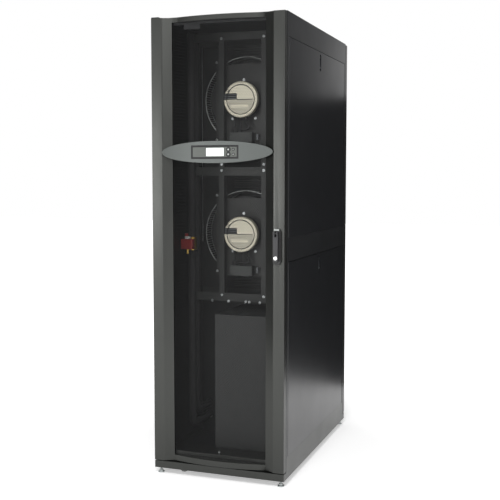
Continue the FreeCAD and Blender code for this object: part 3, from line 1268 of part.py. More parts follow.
# ---------------------------------------------------------------- casters and levelling feet
def caster_fork(name, head_gap):
    """Swivel fork: a bored head, two cheeks and the wheel axle, with the kingpin on the Z axis."""
    head_top, head_low = s.shelf_height - head_gap, s.shelf_height - s.head_height
    axle_z = s.caster_wheel + s.caster_lift
    inner = s.tread_width / 2 + s.fork_gap
    head = rod(name + "_head", s.fork_head, (0, 0, head_low), head_top - head_low)
    trail, wide, neck = -s.trail, s.cheek_half, s.neck_half
    cheek = [(trail - wide, axle_z), (trail, axle_z - wide), (trail + wide, axle_z),
             (neck - OVER, head_low - neck), (neck, head_low + OVER), (-neck, head_low + OVER),
             (-neck - OVER * 2, head_low - neck)]
    cheeks = [prism(f"{name}_cheek_{i}", "XZ", [cheek], low, low + s.fork_wall)
              for i, low in enumerate((-inner - s.fork_wall, inner))]
    axle = rod(name + "_axle", s.caster_axle, (trail, -inner - s.fork_wall, axle_z), (inner + s.fork_wall) * 2, "y")
    bore = rod(name + "_bore", s.kingpin_radius + s.running_gap, (0, 0, head_low - OVER), s.head_height + OVER * 2)
    return cut(name + "_solid", fuse(name + "_pieces", head, *cheeks, axle), bore)


def caster_wheel(name):
    """Solid wheel on the fork's axle."""
    r, half, bore = s.caster_wheel, s.tread_width / 2, s.caster_axle + s.running_gap
    edge = s.tread_edge
    profile = [(bore, -half), (r - edge, -half), (r, -half + edge), (r, half - edge), (r - edge, half), (bore, half)]
    wheel = lathe(name + "_turned", profile)
    place(wheel, (-s.trail, 0, s.caster_wheel + s.caster_lift), TURN_X["y"])
    return group(name + "_at_fork", wheel)


def casters():
    """Swivelling casters in front, fixed ones at the rear."""
    names = ("front_left", "front_right", "rear_left", "rear_right")
    swings = (number(s.left_swing), number(s.right_swing), 90, 90)
    fixed = []
    for name, (x, y), swing in zip(names, caster_places(), swings):
        turn = Rotation(Vector(0, 0, 1), swing)
        rear = name.startswith("rear")
        fork = place(caster_fork(name + "_fork", 0 if rear else s.swivel_gap), (x, y, 0), turn)
        node(name + "_caster_wheel", place(caster_wheel(name + "_wheel"), (x, y, 0), turn))
        if rear:
            fixed.append(fork)
        else:
            node(name + "_caster_fork", fork)
    node("rear_caster_forks", group("fixed_forks", *fixed))


def levelling_feet():
    """Feet on threaded stems, screwed through the corners of the plinth."""
    for name, x, y in (("front_left", -1, 1), ("front_right", 1, 1), ("rear_left", -1, -1), ("rear_right", 1, -1)):
        pad, r = s.foot_pad, s.foot_radius
        foot = lathe(f"{name}_foot", [(0, 0), (r, 0), (r, pad - s.pad_slope), (s.stem_radius, pad),
                                      (s.stem_radius, plinth_top), (0, plinth_top)])
        node(f"{name}_foot", place(foot, (x * (side - s.foot_in), y * (plinth_face + s.foot_back), 0)))


# ---------------------------------------------------------------- build, check and write
base_frame()
top_frame()
roof_panel()
upright_frame()
for panel_name, bottom, top_edge in (("upper", mid_high, band_low), ("lower", s.base_top, mid_low)):
    for hand in ("left", "right"):
        side_panel(f"{panel_name}_{hand}_panel", bottom, top_edge, hand == "left")
front_door()
rear_door()
swing_handle("front_handle")
swing_handle("rear_handle")
display()
duct_liners()
fan_bulkhead()
fan_frame()
fan_brackets()
fan_motors()
junction_boxes()
motor_cables()
inlet_rings()
fan_cages()
for fan, fan_height in FANS.items():
    fan_wheel(f"{fan}_impeller", fan_height)
electrical_box()
cooling_coil()
drain_pan()
air_filters()
pipework()
control_valve()
valve_actuator()
casters()
levelling_feet()

doc.recompute()
faults = [f"{o.Name}: {o.State}" for o in doc.Objects if {"Invalid", "Error"} & set(o.State)]
faults += [name for name, piece in NODES.items() if piece.Shape.isNull() or not piece.Shape.isValid()]
if faults:
    raise SystemExit("faults: " + "; ".join(faults))
os.makedirs("parts", exist_ok=True)
for name, piece in NODES.items():
    piece.Shape.exportStep(f"parts/{name}.step")
    bounds = piece.Shape.BoundBox
    print(f"{name:24s} solids {len(piece.Shape.Solids):2d}  x {bounds.XMin:7.1f} {bounds.XMax:7.1f}"
          f"  y {bounds.YMin:7.1f} {bounds.YMax:7.1f}  z {bounds.ZMin:7.1f} {bounds.ZMax:7.1f}")
print(len(NODES), "sub-parts")
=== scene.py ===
# %% [markdown]
# An in-row cooling unit, dressed for the eye. The engineering model gives every piece its true place in metres: X to
# the right seen from the front, Y towards the rear, Z up, from the floor in the middle of the cabinet. Solids that
# already look right are kept, and the ones that need more are modelled by hand.

import math

import bpy
import numpy as np
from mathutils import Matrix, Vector


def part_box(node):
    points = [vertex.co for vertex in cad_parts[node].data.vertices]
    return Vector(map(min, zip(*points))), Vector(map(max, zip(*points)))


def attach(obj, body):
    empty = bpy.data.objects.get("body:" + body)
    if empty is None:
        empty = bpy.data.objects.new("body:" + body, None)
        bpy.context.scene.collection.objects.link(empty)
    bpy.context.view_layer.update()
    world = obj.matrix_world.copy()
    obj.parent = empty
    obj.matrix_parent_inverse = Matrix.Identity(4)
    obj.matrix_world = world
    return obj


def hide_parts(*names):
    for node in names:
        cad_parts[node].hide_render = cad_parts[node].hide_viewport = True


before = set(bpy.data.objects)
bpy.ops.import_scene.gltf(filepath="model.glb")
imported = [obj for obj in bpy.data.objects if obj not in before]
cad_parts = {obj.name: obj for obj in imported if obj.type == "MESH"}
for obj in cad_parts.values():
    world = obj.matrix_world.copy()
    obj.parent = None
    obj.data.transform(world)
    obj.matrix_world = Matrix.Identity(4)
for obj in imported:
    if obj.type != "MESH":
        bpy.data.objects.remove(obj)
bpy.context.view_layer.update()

# %% [markdown]
# Sizes are thought of in millimetres and colours as sRGB hex values, while Blender wants metres and linear numbers. Two
# small functions turn them.

# %% Units and colours
MM = 0.001


def mm(*values):
    return tuple(v * MM for v in values)


def linear(code):
    """An sRGB hex colour as linear red, green, blue and alpha."""
    parts = [int(code[i:i + 2], 16) / 255 for i in (1, 3, 5)]
    return tuple(p / 12.92 if p <= 0.04045 else ((p + 0.055) / 1.055) ** 2.4 for p in parts) + (1.0,)


print("mid grey is", linear("#808080")[0])

# %% [markdown]
# Nothing real has one roughness all over. One function adds a node with its settings and links, and one builds a
# painted, moulded or metal finish on top of it: a Principled shader, a broad noise that varies its roughness and
# colour, and a bump from the grain of the real surface.

# %% Material helpers
def add_node(tree, kind, settings=None, sources=(), **links):
    """Adds a node. Settings go on the node or its sockets; sources join its sockets in their order, links by name."""
    made = tree.nodes.new(kind)
    for key, value in (settings or {}).items():
        if key in made.inputs:
            made.inputs[key].default_value = value
        else:
            setattr(made, key, value)
    for socket, source in zip(made.inputs, sources):
        tree.links.new(source, socket)
    for key, source in links.items():
        tree.links.new(source, made.inputs[key])
    return made


BLOTCHES, GRAIN_SCALE, BUMP_STRENGTH = 6.0, 4, 0.6


def finish_of(name, colour, roughness, metallic=0.0, grain=0.5, bump=0.01, spread=0.06, mottle=0.06):
    """A finish with the grain size in mm, the bump depth in mm, and the spread of roughness and colour."""
    made = bpy.data.materials.new(name)
    made.use_nodes = True
    tree = made.node_tree
    shader = tree.nodes["Principled BSDF"]
    place = add_node(tree, "ShaderNodeTexCoord").outputs["Object"]
    broad = add_node(tree, "ShaderNodeTexNoise", {"Scale": BLOTCHES, "Detail": 3.0}, Vector=place).outputs["Fac"]
    fine = add_node(tree, "ShaderNodeTexNoise", {"Scale": 1 / (grain * MM * GRAIN_SCALE), "Detail": 2.0}, Vector=place)
    rough = add_node(tree, "ShaderNodeMapRange",
                     {"To Min": max(roughness - spread, 0.02), "To Max": roughness + spread}, Value=broad)
    tree.links.new(rough.outputs["Result"], shader.inputs["Roughness"])
    base = linear(colour)
    tint = add_node(tree, "ShaderNodeMix", {"data_type": "RGBA"}, [broad])
    for socket, share in ((6, 1 - mottle), (7, 1 + mottle)):
        tint.inputs[socket].default_value = tuple(min(c * share, 1.0) for c in base[:3]) + (1.0,)
    tree.links.new(tint.outputs[2], shader.inputs["Base Color"])
    shader.inputs["Metallic"].default_value = metallic
    relief = add_node(tree, "ShaderNodeBump", {"Strength": BUMP_STRENGTH, "Distance": bump * MM},
                      Height=fine.outputs["Fac"])
    tree.links.new(relief.outputs["Normal"], shader.inputs["Normal"])
    return made


# %% [markdown]
# The cabinet is folded sheet steel with powder coat, whose faint orange peel is about half a millimetre across. The
# doors are a dark warm grey, the frame and the side panels near black and a little smoother, so that they mirror the
# room when they are seen almost edge on.

# %% Painted finishes
door_grey = finish_of("powder_coated_steel_grey", "#40413f", 0.32, metallic=0.85, bump=0.015)
frame_black = finish_of("powder_coated_steel_black", "#242527", 0.34, metallic=0.3, bump=0.012)
panel_black = finish_of("smooth_coated_steel_black", "#1a1b1e", 0.3, grain=0.6, bump=0.008, spread=0.04)
mesh_black = finish_of("coated_perforated_steel", "#0e0f10", 0.55, grain=0.4)
inner_black = finish_of("coated_duct_steel", "#111312", 0.5, bump=0.015)
bracket_grey = finish_of("coated_bracket_steel", "#292a28", 0.5, bump=0.015)
rail_grey = finish_of("coated_rail_steel", "#292b29", 0.5, bump=0.015)
cover_grey = finish_of("coated_cover_steel", "#1d1f1e", 0.5, bump=0.015)

# %% [markdown]
# Inside are cast and rolled metals: die-cast aluminium on the motors, lacquered and slightly grainy, zinc-plated steel
# with its soft cloudy spangle, mill-finish aluminium fins, and brass.

# %% Metal finishes
cast_alloy = finish_of("lacquered_die_cast_aluminium", "#ece6d0", 0.45, metallic=0.3, grain=0.7, bump=0.03, mottle=0.05)
wheel_black = finish_of("dipped_fan_sheet", "#1b1c1c", 0.5, grain=0.6, bump=0.02)
lid_alloy = finish_of("machined_die_cast_aluminium", "#c4bfad", 0.45, metallic=0.3, grain=0.7, bump=0.02, mottle=0.05)
motor_dark = finish_of("dipped_die_cast_aluminium", "#2a2c2c", 0.5, grain=0.7, bump=0.05)
zinc_plate = finish_of("zinc_plated_steel", "#b4b8b8", 0.32, metallic=1.0, grain=0.8, mottle=0.18)
fin_alloy = finish_of("mill_finish_aluminium", "#c3c6c8", 0.38, metallic=1.0, grain=0.6)
brass = finish_of("cast_brass", "#c2a14e", 0.34, metallic=1.0, grain=0.7, bump=0.02, mottle=0.12)
guard_zinc = finish_of("zinc_plated_wire", "#a0a3a1", 0.4, metallic=0.9, grain=0.4, mottle=0.15)
bright_chrome = finish_of("polished_chrome", "#f6f6f5", 0.35, metallic=0.6, grain=0.8, bump=0.002, spread=0.02)

# %% [markdown]
# Plastics and rubber: moulded ABS for the bezel, glass-filled nylon for the handle, PVC on the cables, closed-cell foam
# round the pipes, and polyurethane on the wheels.

# %% Plastic and rubber finishes
bezel_abs = finish_of("moulded_abs_grey", "#5a5e5c", 0.42, metallic=0.3, grain=0.9, bump=0.03, mottle=0.03)
keypad_abs = finish_of("printed_keypad_film", "#50544f", 0.38, bump=0.006, mottle=0.03)
# This black rubber finish also paints shade: the ring in each motor cap's groove, the strip in its lid joint and the
# frame round the keypad.
black_rubber_and_shade = finish_of("moulded_rubber_black", "#101011", 0.6, bump=0.02)
key_abs = finish_of("moulded_abs_key", "#2c2e2e", 0.4, grain=0.3, mottle=0.03)
pale_abs = finish_of("moulded_abs_pale_grey", "#b4b8b5", 0.4, grain=0.3, mottle=0.03)
handle_nylon = finish_of("glass_filled_nylon_black", "#161616", 0.45, grain=0.3, bump=0.02)
lever_nylon = finish_of("glass_filled_nylon_grey", "#2d2d2f", 0.42, grain=0.3, bump=0.02)
cable_pvc = finish_of("extruded_pvc_black", "#171718", 0.5, grain=0.4)
pipe_foam = finish_of("closed_cell_foam", "#1d1d1e", 0.8, grain=0.9, bump=0.12)
actuator_red = finish_of("moulded_polycarbonate_red", "#8e2b29", 0.4, grain=0.4)
clip_white = finish_of("moulded_nylon_white", "#cfd0cc", 0.45, grain=0.4)
box_grey = finish_of("moulded_polycarbonate_grey", "#3d403e", 0.5, grain=0.4, bump=0.02)
latch_grey = finish_of("moulded_acetal_grey", "#6f7376", 0.4, grain=0.4)
tread = finish_of("cast_polyurethane", "#8b8c8a", 0.5, bump=0.03)
filter_paper = finish_of("pleated_filter_paper", "#c9cac3", 0.85, grain=0.6, bump=0.15)
filter_card = finish_of("filter_card_frame", "#9a9b94", 0.7, grain=0.8, bump=0.05)

# %% [markdown]
# The screen is a liquid-crystal panel with its backlight on, so its finish gives a little light of its own, with faint
# rows of picture cells half a millimetre apart.

# %% Screen finish
screen_glow = finish_of("lit_liquid_crystal", "#dfe6e2", 0.25, bump=0.004, mottle=0.02)
screen_tree = screen_glow.node_tree
CELL, WAVE_SCALE = 0.5, 20
rows = add_node(screen_tree, "ShaderNodeTexWave", {"Scale": 1 / (CELL * MM * WAVE_SCALE), "bands_direction": "Z"},
                Vector=add_node(screen_tree, "ShaderNodeTexCoord").outputs["Object"])
glow = add_node(screen_tree, "ShaderNodeMapRange", {"To Min": 0.42, "To Max": 0.5}, Value=rows.outputs["Fac"])
screen_shader = screen_tree.nodes["Principled BSDF"]
screen_tree.links.new(glow.outputs["Result"], screen_shader.inputs["Emission Strength"])
screen_shader.inputs["Emission Color"].default_value = linear("#eef4f0")

# %% [markdown]
# The solids that are right as they are take these finishes at once. What is modelled by hand later takes its own.

# %% Dress the engineering pieces
PANELS = ("upper_left", "upper_right", "lower_left", "lower_right")
DRESS = {
    frame_black: ["top_frame", "upright_frame"],
    inner_black: ["duct_liners", "fan_bulkhead"],
    bracket_grey: ["fan_brackets"],
    rail_grey: ["fan_frame"],
    cover_grey: ["electrical_box"],
    wheel_black: ["inlet_rings", "upper_impeller", "lower_impeller"],
    zinc_plate: ["drain_pan", "rear_caster_forks", "front_left_caster_fork", "front_right_caster_fork"],
    fin_alloy: ["cooling_coil"],
    handle_nylon: ["front_handle_spindle", "rear_handle_spindle"],
    screen_glow: ["display_screen"],
    pipe_foam: ["pipework"],
    brass: ["control_valve"],
    latch_grey: [f"{place}_latch" for place in PANELS],
    filter_card: ["air_filters"],
}
for coat_of, nodes in DRESS.items():
    for node in nodes:
        bpy.data.objects[node].data.materials.clear()
        bpy.data.objects[node].data.materials.append(coat_of)
print("dressed", sum(map(len, DRESS.values())), "nodes")

# %% [markdown]
# Modelling by hand in code needs the same few moves again and again. The first is to clear the selection and add a
# primitive at its size and place. Its place goes into its mesh, so that all pieces share one frame.

# %% Primitives
def only(piece):
    """Makes one piece the selected and active one."""
    if bpy.context.object and bpy.context.object.mode != "OBJECT":
        bpy.ops.object.mode_set(mode="OBJECT")
    bpy.ops.object.select_all(action="DESELECT")
    piece.select_set(True)
    bpy.context.view_layer.objects.active = piece


def place_in_mesh():
    bpy.ops.object.transform_apply(location=True, rotation=True, scale=True)


def made_by(add, name, stretch=(1, 1, 1), **settings):
    """The primitive that an operator adds, stretched, with its place in its mesh."""
    bpy.ops.object.select_all(action="DESELECT")
    add(**settings)
    piece = bpy.context.object
    piece.name = name
    piece.scale = stretch
    place_in_mesh()
    return piece


def block(name, low, high):
    """A cuboid between two corners in mm."""
    return made_by(bpy.ops.mesh.primitive_cube_add, name, size=1, scale=[(b - a) * MM for a, b in zip(low, high)],
                   location=[(a + b) / 2 * MM for a, b in zip(low, high)])


AXES = {"x": (0, math.pi / 2, 0), "y": (math.pi / 2, 0, 0), "z": (0, 0, 0)}


def drum(name, radius, depth, centre, axis="y", sides=48):
    """A cylinder about a centre in mm."""
    return made_by(bpy.ops.mesh.primitive_cylinder_add, name, vertices=sides, radius=radius * MM, depth=depth * MM,
                   location=mm(*centre), rotation=AXES[axis])


def hoop(name, radius, wire, centre, axis="y", sides=96, wire_sides=8):
    """A ring of round wire about a centre in mm."""
    return made_by(bpy.ops.mesh.primitive_torus_add, name, major_radius=radius * MM, minor_radius=wire * MM,
                   major_segments=sides, minor_segments=wire_sides, location=mm(*centre), rotation=AXES[axis])


# %% [markdown]
# The second move is to select faces, edges or corners by where they are, and to run an operator on them in edit mode.
# The tests that come up again and again have names.

# %% Edit mode
def pick(piece, kind, test):
    """Enters edit mode with only the faces, edges or corners selected whose middle and direction pass a test."""
    only(piece)
    mesh = piece.data
    for part in (mesh.vertices, mesh.edges, mesh.polygons):
        part.foreach_set("select", [False] * len(part))
    if kind == "EDGE":
        ends = ([mesh.vertices[i].co / MM for i in edge.vertices] for edge in mesh.edges)
        rows = [(edge, (a + b) / 2, (b - a).normalized()) for edge, (a, b) in zip(mesh.edges, ends)]
    elif kind == "FACE":
        rows = [(face, face.center / MM, face.normal) for face in mesh.polygons]
    else:
        rows = [(corner, corner.co / MM, corner.normal) for corner in mesh.vertices]
    for element, middle, direction in rows:
        element.select = bool(test(middle, direction))
    found = any(element.select for element, _, _ in rows)
    bpy.ops.object.mode_set(mode="EDIT")
    bpy.ops.mesh.select_mode(type=kind)
    return found


def done():
    bpy.ops.object.mode_set(mode="OBJECT")


def bevel(piece, width, segments, test=lambda middle, along: True):
    """Rounds the chosen edges by a width in mm."""
    if pick(piece, "EDGE", test):
        bpy.ops.mesh.bevel(offset=width * MM, segments=segments, profile=0.5, affect="EDGES", clamp_overlap=True)
    done()
    return piece


def inset_and_sink(piece, border, depth, test):
    """Insets the chosen faces by a border and pushes the middle in by a depth, both in mm."""
    if pick(piece, "FACE", test):
        bpy.ops.mesh.inset(thickness=border * MM, depth=0)
        bpy.ops.mesh.extrude_region_shrink_fatten(TRANSFORM_OT_shrink_fatten={"value": -depth * MM})
    done()
    return piece


def along_y(middle, along):
    """Whether an edge runs from front to rear."""
    return abs(along.y) > 0.9


def facing_front(middle, normal):
    """Whether a face looks to the front."""
    return normal.y < -0.9


def ahead_of(y):
    """A test for the edges round a front face that lie before y."""
    return lambda middle, along: abs(along.y) < 0.1 and middle.y < y


# %% [markdown]
# The third is to combine shapes: a modifier rounds, cuts or repeats them, and a copy saves modelling one twice. A copy
# of an engineering solid is cleaned before its edges are rounded.

# %% Modifiers and copies
def apply(piece, kind, **settings):
    """Adds a modifier with its settings and applies it."""
    only(piece)
    tool = piece.modifiers.new(kind.lower(), kind)
    for key, value in settings.items():
        setattr(tool, key, value)
    bpy.ops.object.modifier_apply(modifier=tool.name)
    return piece


def carve(piece, *cutters):
    """Cuts shapes out of a piece, and removes the cutters."""
    for cutter in cutters:
        apply(piece, "BOOLEAN", operation="DIFFERENCE", object=cutter, solver="EXACT")
        bpy.data.objects.remove(cutter)


def join(first, *others):
    """Makes several shapes one piece."""
    only(first)
    for other in others:
        other.select_set(True)
    bpy.ops.object.join()
    return first


def copy_to(piece, name, shift=(0, 0, 0), turn=0.0, about=(0, 0, 0)):
    """A copy with its own mesh, turned about a point round Y and then moved by a shift in mm."""
    only(piece)
    twin = piece.copy()
    twin.data = piece.data.copy()
    twin.name = name
    bpy.context.collection.objects.link(twin)
    only(twin)
    bpy.ops.object.mode_set(mode="EDIT")
    bpy.ops.mesh.select_all(action="SELECT")
    if turn:
        bpy.ops.transform.rotate(value=turn, orient_axis="Y", center_override=mm(*about))
    bpy.ops.transform.translate(value=mm(*shift))
    done()
    return twin


def round_bends(piece, width, segments=2):
    """Rounds every sharp edge by a width in mm."""
    return apply(piece, "BEVEL", width=width * MM, segments=segments, limit_method="ANGLE",
                 angle_limit=math.radians(40), use_clamp_overlap=True)


def solid_copy(node, name, width=0.0, segments=2):
    """A copy of an engineering solid to work on: its doubled corners merged, flat stretches made one face, and its
    sharp edges rounded by a width in mm."""
    source = bpy.data.objects[node]
    piece = source.copy()
    piece.data = source.data.copy()
    piece.parent = None
    piece.name = name
    bpy.context.scene.collection.objects.link(piece)
    piece.hide_set(False)
    piece.hide_render = False
    piece.matrix_world = source.matrix_world
    only(piece)
    place_in_mesh()
    bpy.ops.object.mode_set(mode="EDIT")
    bpy.ops.mesh.select_all(action="SELECT")
    bpy.ops.mesh.remove_doubles(threshold=0.02 * MM)
    bpy.ops.mesh.dissolve_limited(angle_limit=math.radians(1))
    bpy.ops.mesh.normals_make_consistent(inside=False)
    done()
    return round_bends(piece, width, segments) if width else piece


# %% [markdown]
# The last is to settle the finished piece: its edges are smoothed, it gets its finish, and it rides on the body that
# carries it, mostly the cabinet. Sizes come from the engineering pieces wherever two things have to meet.

# %% Settling and measuring
def settle(piece, slot, finish, body="cabinet", smooth=35, replaces=()):
    """The piece's last step: edges smoothed, finish on, riding on its body, with the solids it stands in for."""
    only(piece)
    place_in_mesh()
    if smooth:
        bpy.ops.object.shade_smooth_by_angle(angle=math.radians(smooth))
        apply(piece, "WEIGHTED_NORMAL", keep_sharp=True)
    piece.data.materials.clear()
    piece.data.materials.append(finish)
    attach(piece, body)
    if replaces:
        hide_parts(*replaces)


def span(node):
    """The low and high corner of an engineering piece, in mm."""
    low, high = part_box(node)
    return [v / MM for v in low], [v / MM for v in high]


def centre_of(node):
    """The middle of an engineering piece, in mm."""
    return [(a + b) / 2 for a, b in zip(*span(node))]


print("the roof panel's middle is at", centre_of("roof_panel"), "mm")

# %% [markdown]
# Folded sheet never has a razor edge: the bend leaves a radius of about the sheet's own thickness, which catches the
# light and makes a cabinet look folded and not cut. So the doors, plinth, roof and side panels are copies of the solids
# with all their sharp edges bevelled by about a millimetre. The side panels are pressed, not folded, so the rims of
# their outer face get a wider bevel before that.

# %% Cabinet skins with rounded bends
SKINS = {
    "plinth": ("base_frame", "cabinet", "frame_paint", door_grey, 1.2),
    "roof": ("roof_panel", "cabinet", "frame_paint", frame_black, 0.8),
    "front_door_shell": ("front_door_frame", "front_door", "door_paint", door_grey, 1.4),
    "rear_door_shell": ("rear_door_frame", "rear_door", "door_paint", door_grey, 1.4),
}
for name, (node, body, slot, paint, width) in SKINS.items():
    settle(solid_copy(node, name, width), slot, paint, body, replaces=[node])

PRESSED, FOLDED, LATCH_RIM = 2.6, 0.6, 300
for place in PANELS:
    node = f"{place}_panel"
    skin = solid_copy(node, f"{place}_skin")
    (_, _, foot), (_, _, head) = span(node)
    face = max(abs(v.co.x) for v in skin.data.vertices) / MM
    bevel(skin, PRESSED, 4, lambda middle, along: abs(along.z) < 0.1 and abs(middle.x) > face - 5
          and min(middle.z - foot, head - middle.z) < 0.1 or abs(middle.x) > face - 0.1
          and (abs(along.z) < 0.99 or abs(middle.y) < LATCH_RIM))
    settle(round_bends(skin, FOLDED), "panel_paint", panel_black, node, replaces=[node])
    print(skin.name, len(skin.data.polygons), "faces")

# %% [markdown]
# The front door's centre is a bowed sheet with thousands of hexagonal holes, so close that it reads as a dark veil.
# The web between two holes is a small bar: one upright and two slanting ones, and the same again half a pitch on, make
# the repeat, two Array modifiers lay it out, and every corner is then set back onto the arc of the door. Three sheets
# meet behind the display and in front of the lowest tray, so that no piece gets too heavy.

# %% Perforated panel of the front door
SHEET = 0.9


def web_bar(name, x, z, length, turn, width):
    """One web of the sheet: four sides, no ends, turned in the plane of the sheet."""
    bar = block(name, (-width / 2, -SHEET / 2, -length / 2), (width / 2, SHEET / 2, length / 2))
    pick(bar, "FACE", lambda middle, normal: abs(normal.z) > 0.9)
    bpy.ops.mesh.delete(type="FACE")
    bpy.ops.mesh.select_all(action="SELECT")
    bpy.ops.transform.rotate(value=turn, orient_axis="Y", center_override=(0, 0, 0))
    bpy.ops.transform.translate(value=mm(x, 0, z))
    done()
    return bar


def perforated(name, half, low, high, pitch, web, surface):
    """A sheet of hexagonal holes between two heights, laid on surface(x), which gives y in mm."""
    side = pitch / math.sqrt(3)
    rise = side * 1.5
    across, rows = int(half * 2 // pitch), int((high - low) // (rise * 2))
    slant = math.radians(60)
    webs = []
    for i, (dx, dz) in enumerate(((0, 0), (pitch / 2, rise))):
        webs.append(web_bar(f"{name}_web_{i}", dx, dz, side, 0, web))
        webs.append(web_bar(f"{name}_left_{i}", dx - pitch / 4, dz + side * 0.75, side, slant, web))
        webs.append(web_bar(f"{name}_right_{i}", dx + pitch / 4, dz + side * 0.75, side, -slant, web))
    sheet = join(*webs)
    sheet.name = name
    for count, offset in ((across, mm(pitch, 0, 0)), (rows, mm(0, 0, rise * 2))):
        apply(sheet, "ARRAY", count=count, use_relative_offset=False, use_constant_offset=True,
              constant_offset_displace=offset)
    places = np.empty(len(sheet.data.vertices) * 3)
    sheet.data.vertices.foreach_get("co", places)
    places = places.reshape(-1, 3)
    for axis, size, middle in ((0, half * 2, 0), (2, high - low, (low + high) / 2)):
        places[:, axis] -= (places[:, axis].min() + places[:, axis].max()) / 2
        places[:, axis] *= size * MM / np.ptp(places[:, axis])
        places[:, axis] += middle * MM
    places[:, 1] += surface(places[:, 0] / MM) * MM
    sheet.data.vertices.foreach_set("co", places.ravel())
    sheet.data.update()
    print(name, across * rows * 2, "holes,", len(sheet.data.polygons) * 2, "triangles")
    return sheet


sheet_low, sheet_high = span("front_door_mesh")
SOLID_SHEET = 2
sagitta = sheet_high[1] - sheet_low[1] - SOLID_SHEET
bow_radius = (sheet_high[0]**2 + sagitta**2) / (2 * sagitta)


def bow(x):
    """Where the middle of the bowed sheet lies at a distance x from the door's middle, in mm."""
    inside = np.clip(x, -sheet_high[0], sheet_high[0])
    return sheet_low[1] + bow_radius - np.sqrt(bow_radius**2 - inside**2) + SOLID_SHEET / 2


split = centre_of("display_bezel")[2]
TRAY, HOLE_PITCH, WEB = 752, 7.0, 0.85
for part, a, b in (("lower", sheet_low[2], TRAY), ("middle", TRAY, split), ("upper", split, sheet_high[2])):
    settle(perforated(f"front_sheet_{part}", sheet_high[0], a, b, HOLE_PITCH, WEB, bow), "perforated_steel",
           mesh_black, "front_door", smooth=0, replaces=["front_door_mesh"])

# %% [markdown]
# The rear door has the same kind of sheet, flat and between wider stiles. Its holes are a little coarser.

# %% Perforated panel of the rear door
rear_low, rear_high = span("rear_door_mesh")
REAR_Y = centre_of("rear_door_mesh")[1]
REAR_PITCH, REAR_WEB = 11.0, 1.6
for part, a, b in (("lower", rear_low[2], split), ("upper", split, rear_high[2])):
    settle(perforated(f"rear_sheet_{part}", rear_high[0], a, b, REAR_PITCH, REAR_WEB, lambda x: x * 0 + REAR_Y),
           "perforated_steel", mesh_black, "rear_door", smooth=0, replaces=["rear_door_mesh"])

# %% [markdown]
# Pipes and cables enter through ports in the roof. Until they are connected each port is closed by a rubber membrane, a
# disc whose middle is sunk inside a thicker rim. A plate closes the base, and a foam strip closes the seam over each
# upper side panel.

# %% Roof ports, floor plate and panel seals
ROOF_TOP = span("roof_panel")[1][2]
PIPE_X = centre_of("pipework")[0]
for name, x, y, radius in (("supply", PIPE_X, -242, 22), ("return", PIPE_X, -192, 22), ("cable", -PIPE_X, -242, 20)):
    membrane = drum(f"{name}_membrane", radius, 2.4, (x, y, ROOF_TOP - 1.5), axis="z", sides=64)
    inset_and_sink(membrane, 3, 1.2, lambda middle, normal: normal.z > 0.9)
    bevel(membrane, 0.4, 2, lambda middle, along: abs(along.z) < 0.1 and middle.z > ROOF_TOP - 0.5)
    settle(membrane, "cable_rubber", black_rubber_and_shade)

PLATE_X, PLATE_Y, PLATE_FOOT, PLATE_TOP = 273, 417, 28, 31
base = span("base_frame")[0][2]
floor_plate = block("floor_plate", (-PLATE_X, -PLATE_Y, base + PLATE_FOOT), (PLATE_X, PLATE_Y, base + PLATE_TOP))
settle(bevel(floor_plate, 0.8, 2), "frame_paint", frame_black)

SEAL_X, SEAL_WIDTH, SEAL_Y = 279.6, 6.2, 470
seam = span("upper_right_panel")[1][2]
for side, x in (("left", -SEAL_X), ("right", SEAL_X - SEAL_WIDTH)):
    dark_band = block(f"{side}_panel_seal", (x, -SEAL_Y, seam - 10), (x + SEAL_WIDTH, SEAL_Y, seam + 3.5))
    settle(bevel(dark_band, 1.5, 2), "cable_rubber", black_rubber_and_shade)

# %% [markdown]
# The display bezel is a moulded oval that follows the bow of the door, its front edge rounded generously. The keypad
# sits in a pocket, inside a black frame that paints the shade of the gap round it: a thin block with its middle
# carved out.

# %% Display
settle(solid_copy("display_bezel", "bezel", 3.0, 4), "bezel_plastic", bezel_abs, "front_door",
       replaces=["display_bezel"])

pad_low, pad_high = span("display_panel")
SHADE_BORDER, LIP = 6.5, 1.4
# A black frame round the keypad: painted shade of the gap between keypad and pocket.
pad_shade_frame = block("display_shade_frame", (pad_low[0] - LIP, pad_low[1] - 0.4, pad_low[2] - LIP),
               (pad_high[0] + LIP, pad_high[1], pad_high[2] + LIP))
carve(pad_shade_frame, block("shade_frame_room", (pad_low[0] + SHADE_BORDER, pad_low[1] - 5, pad_low[2] + SHADE_BORDER),
                    (pad_high[0] - SHADE_BORDER, pad_high[1] + 5, pad_high[2] - SHADE_BORDER)))
bevel(pad_shade_frame, 2.5, 4, along_y)
bevel(pad_shade_frame, 0.25, 1, ahead_of(pad_low[1]))
settle(pad_shade_frame, "keypad_panel", black_rubber_and_shade, "front_door")
settle(solid_copy("display_panel", "keypad", 0.2, 1), "keypad_panel", keypad_abs, "front_door",
       replaces=["display_panel"])

# %% [markdown]
# Each key is a small dark moulded button with a dished top, a pale spot in the dish, and a black ring round it. The
# dish is an inset of the front face that is pushed in.

# %% Keys
KEYS = {"up_key": 3.0, "down_key": 3.0, "enter_key": 1.2, "escape_key": 1.2}
KEY_GAP = 0.3
for key, ring_width in KEYS.items():
    low, high = span(key)
    radius = (high[0] - low[0]) / 2
    x, y, z = centre_of(key)
    button = drum(key + "_button", radius, high[1] - low[1], (x, y, z), sides=40)
    inset_and_sink(button, radius * 0.25, 0.35, facing_front)
    bevel(button, 0.3, 2, ahead_of(low[1] + 0.01))
    settle(button, "key_plastic", key_abs, key, replaces=[key])
    mark = drum(key + "_mark", radius * 0.5, 0.5, (x, low[1] + 0.2, z), sides=32)
    settle(bevel(mark, 0.15, 2, ahead_of(low[1])), "key_plastic", pale_abs, key)
    ring = drum(key + "_ring", radius + ring_width + KEY_GAP, 1.2, (x, pad_low[1] - 0.1, z), sides=40)
    carve(ring, drum("ring_room", radius + KEY_GAP, 6, (x, pad_low[1], z), sides=40))
    settle(bevel(ring, 0.25, 1, ahead_of(pad_low[1] - 0.6)), "keypad_panel", black_rubber_and_shade, "front_door")

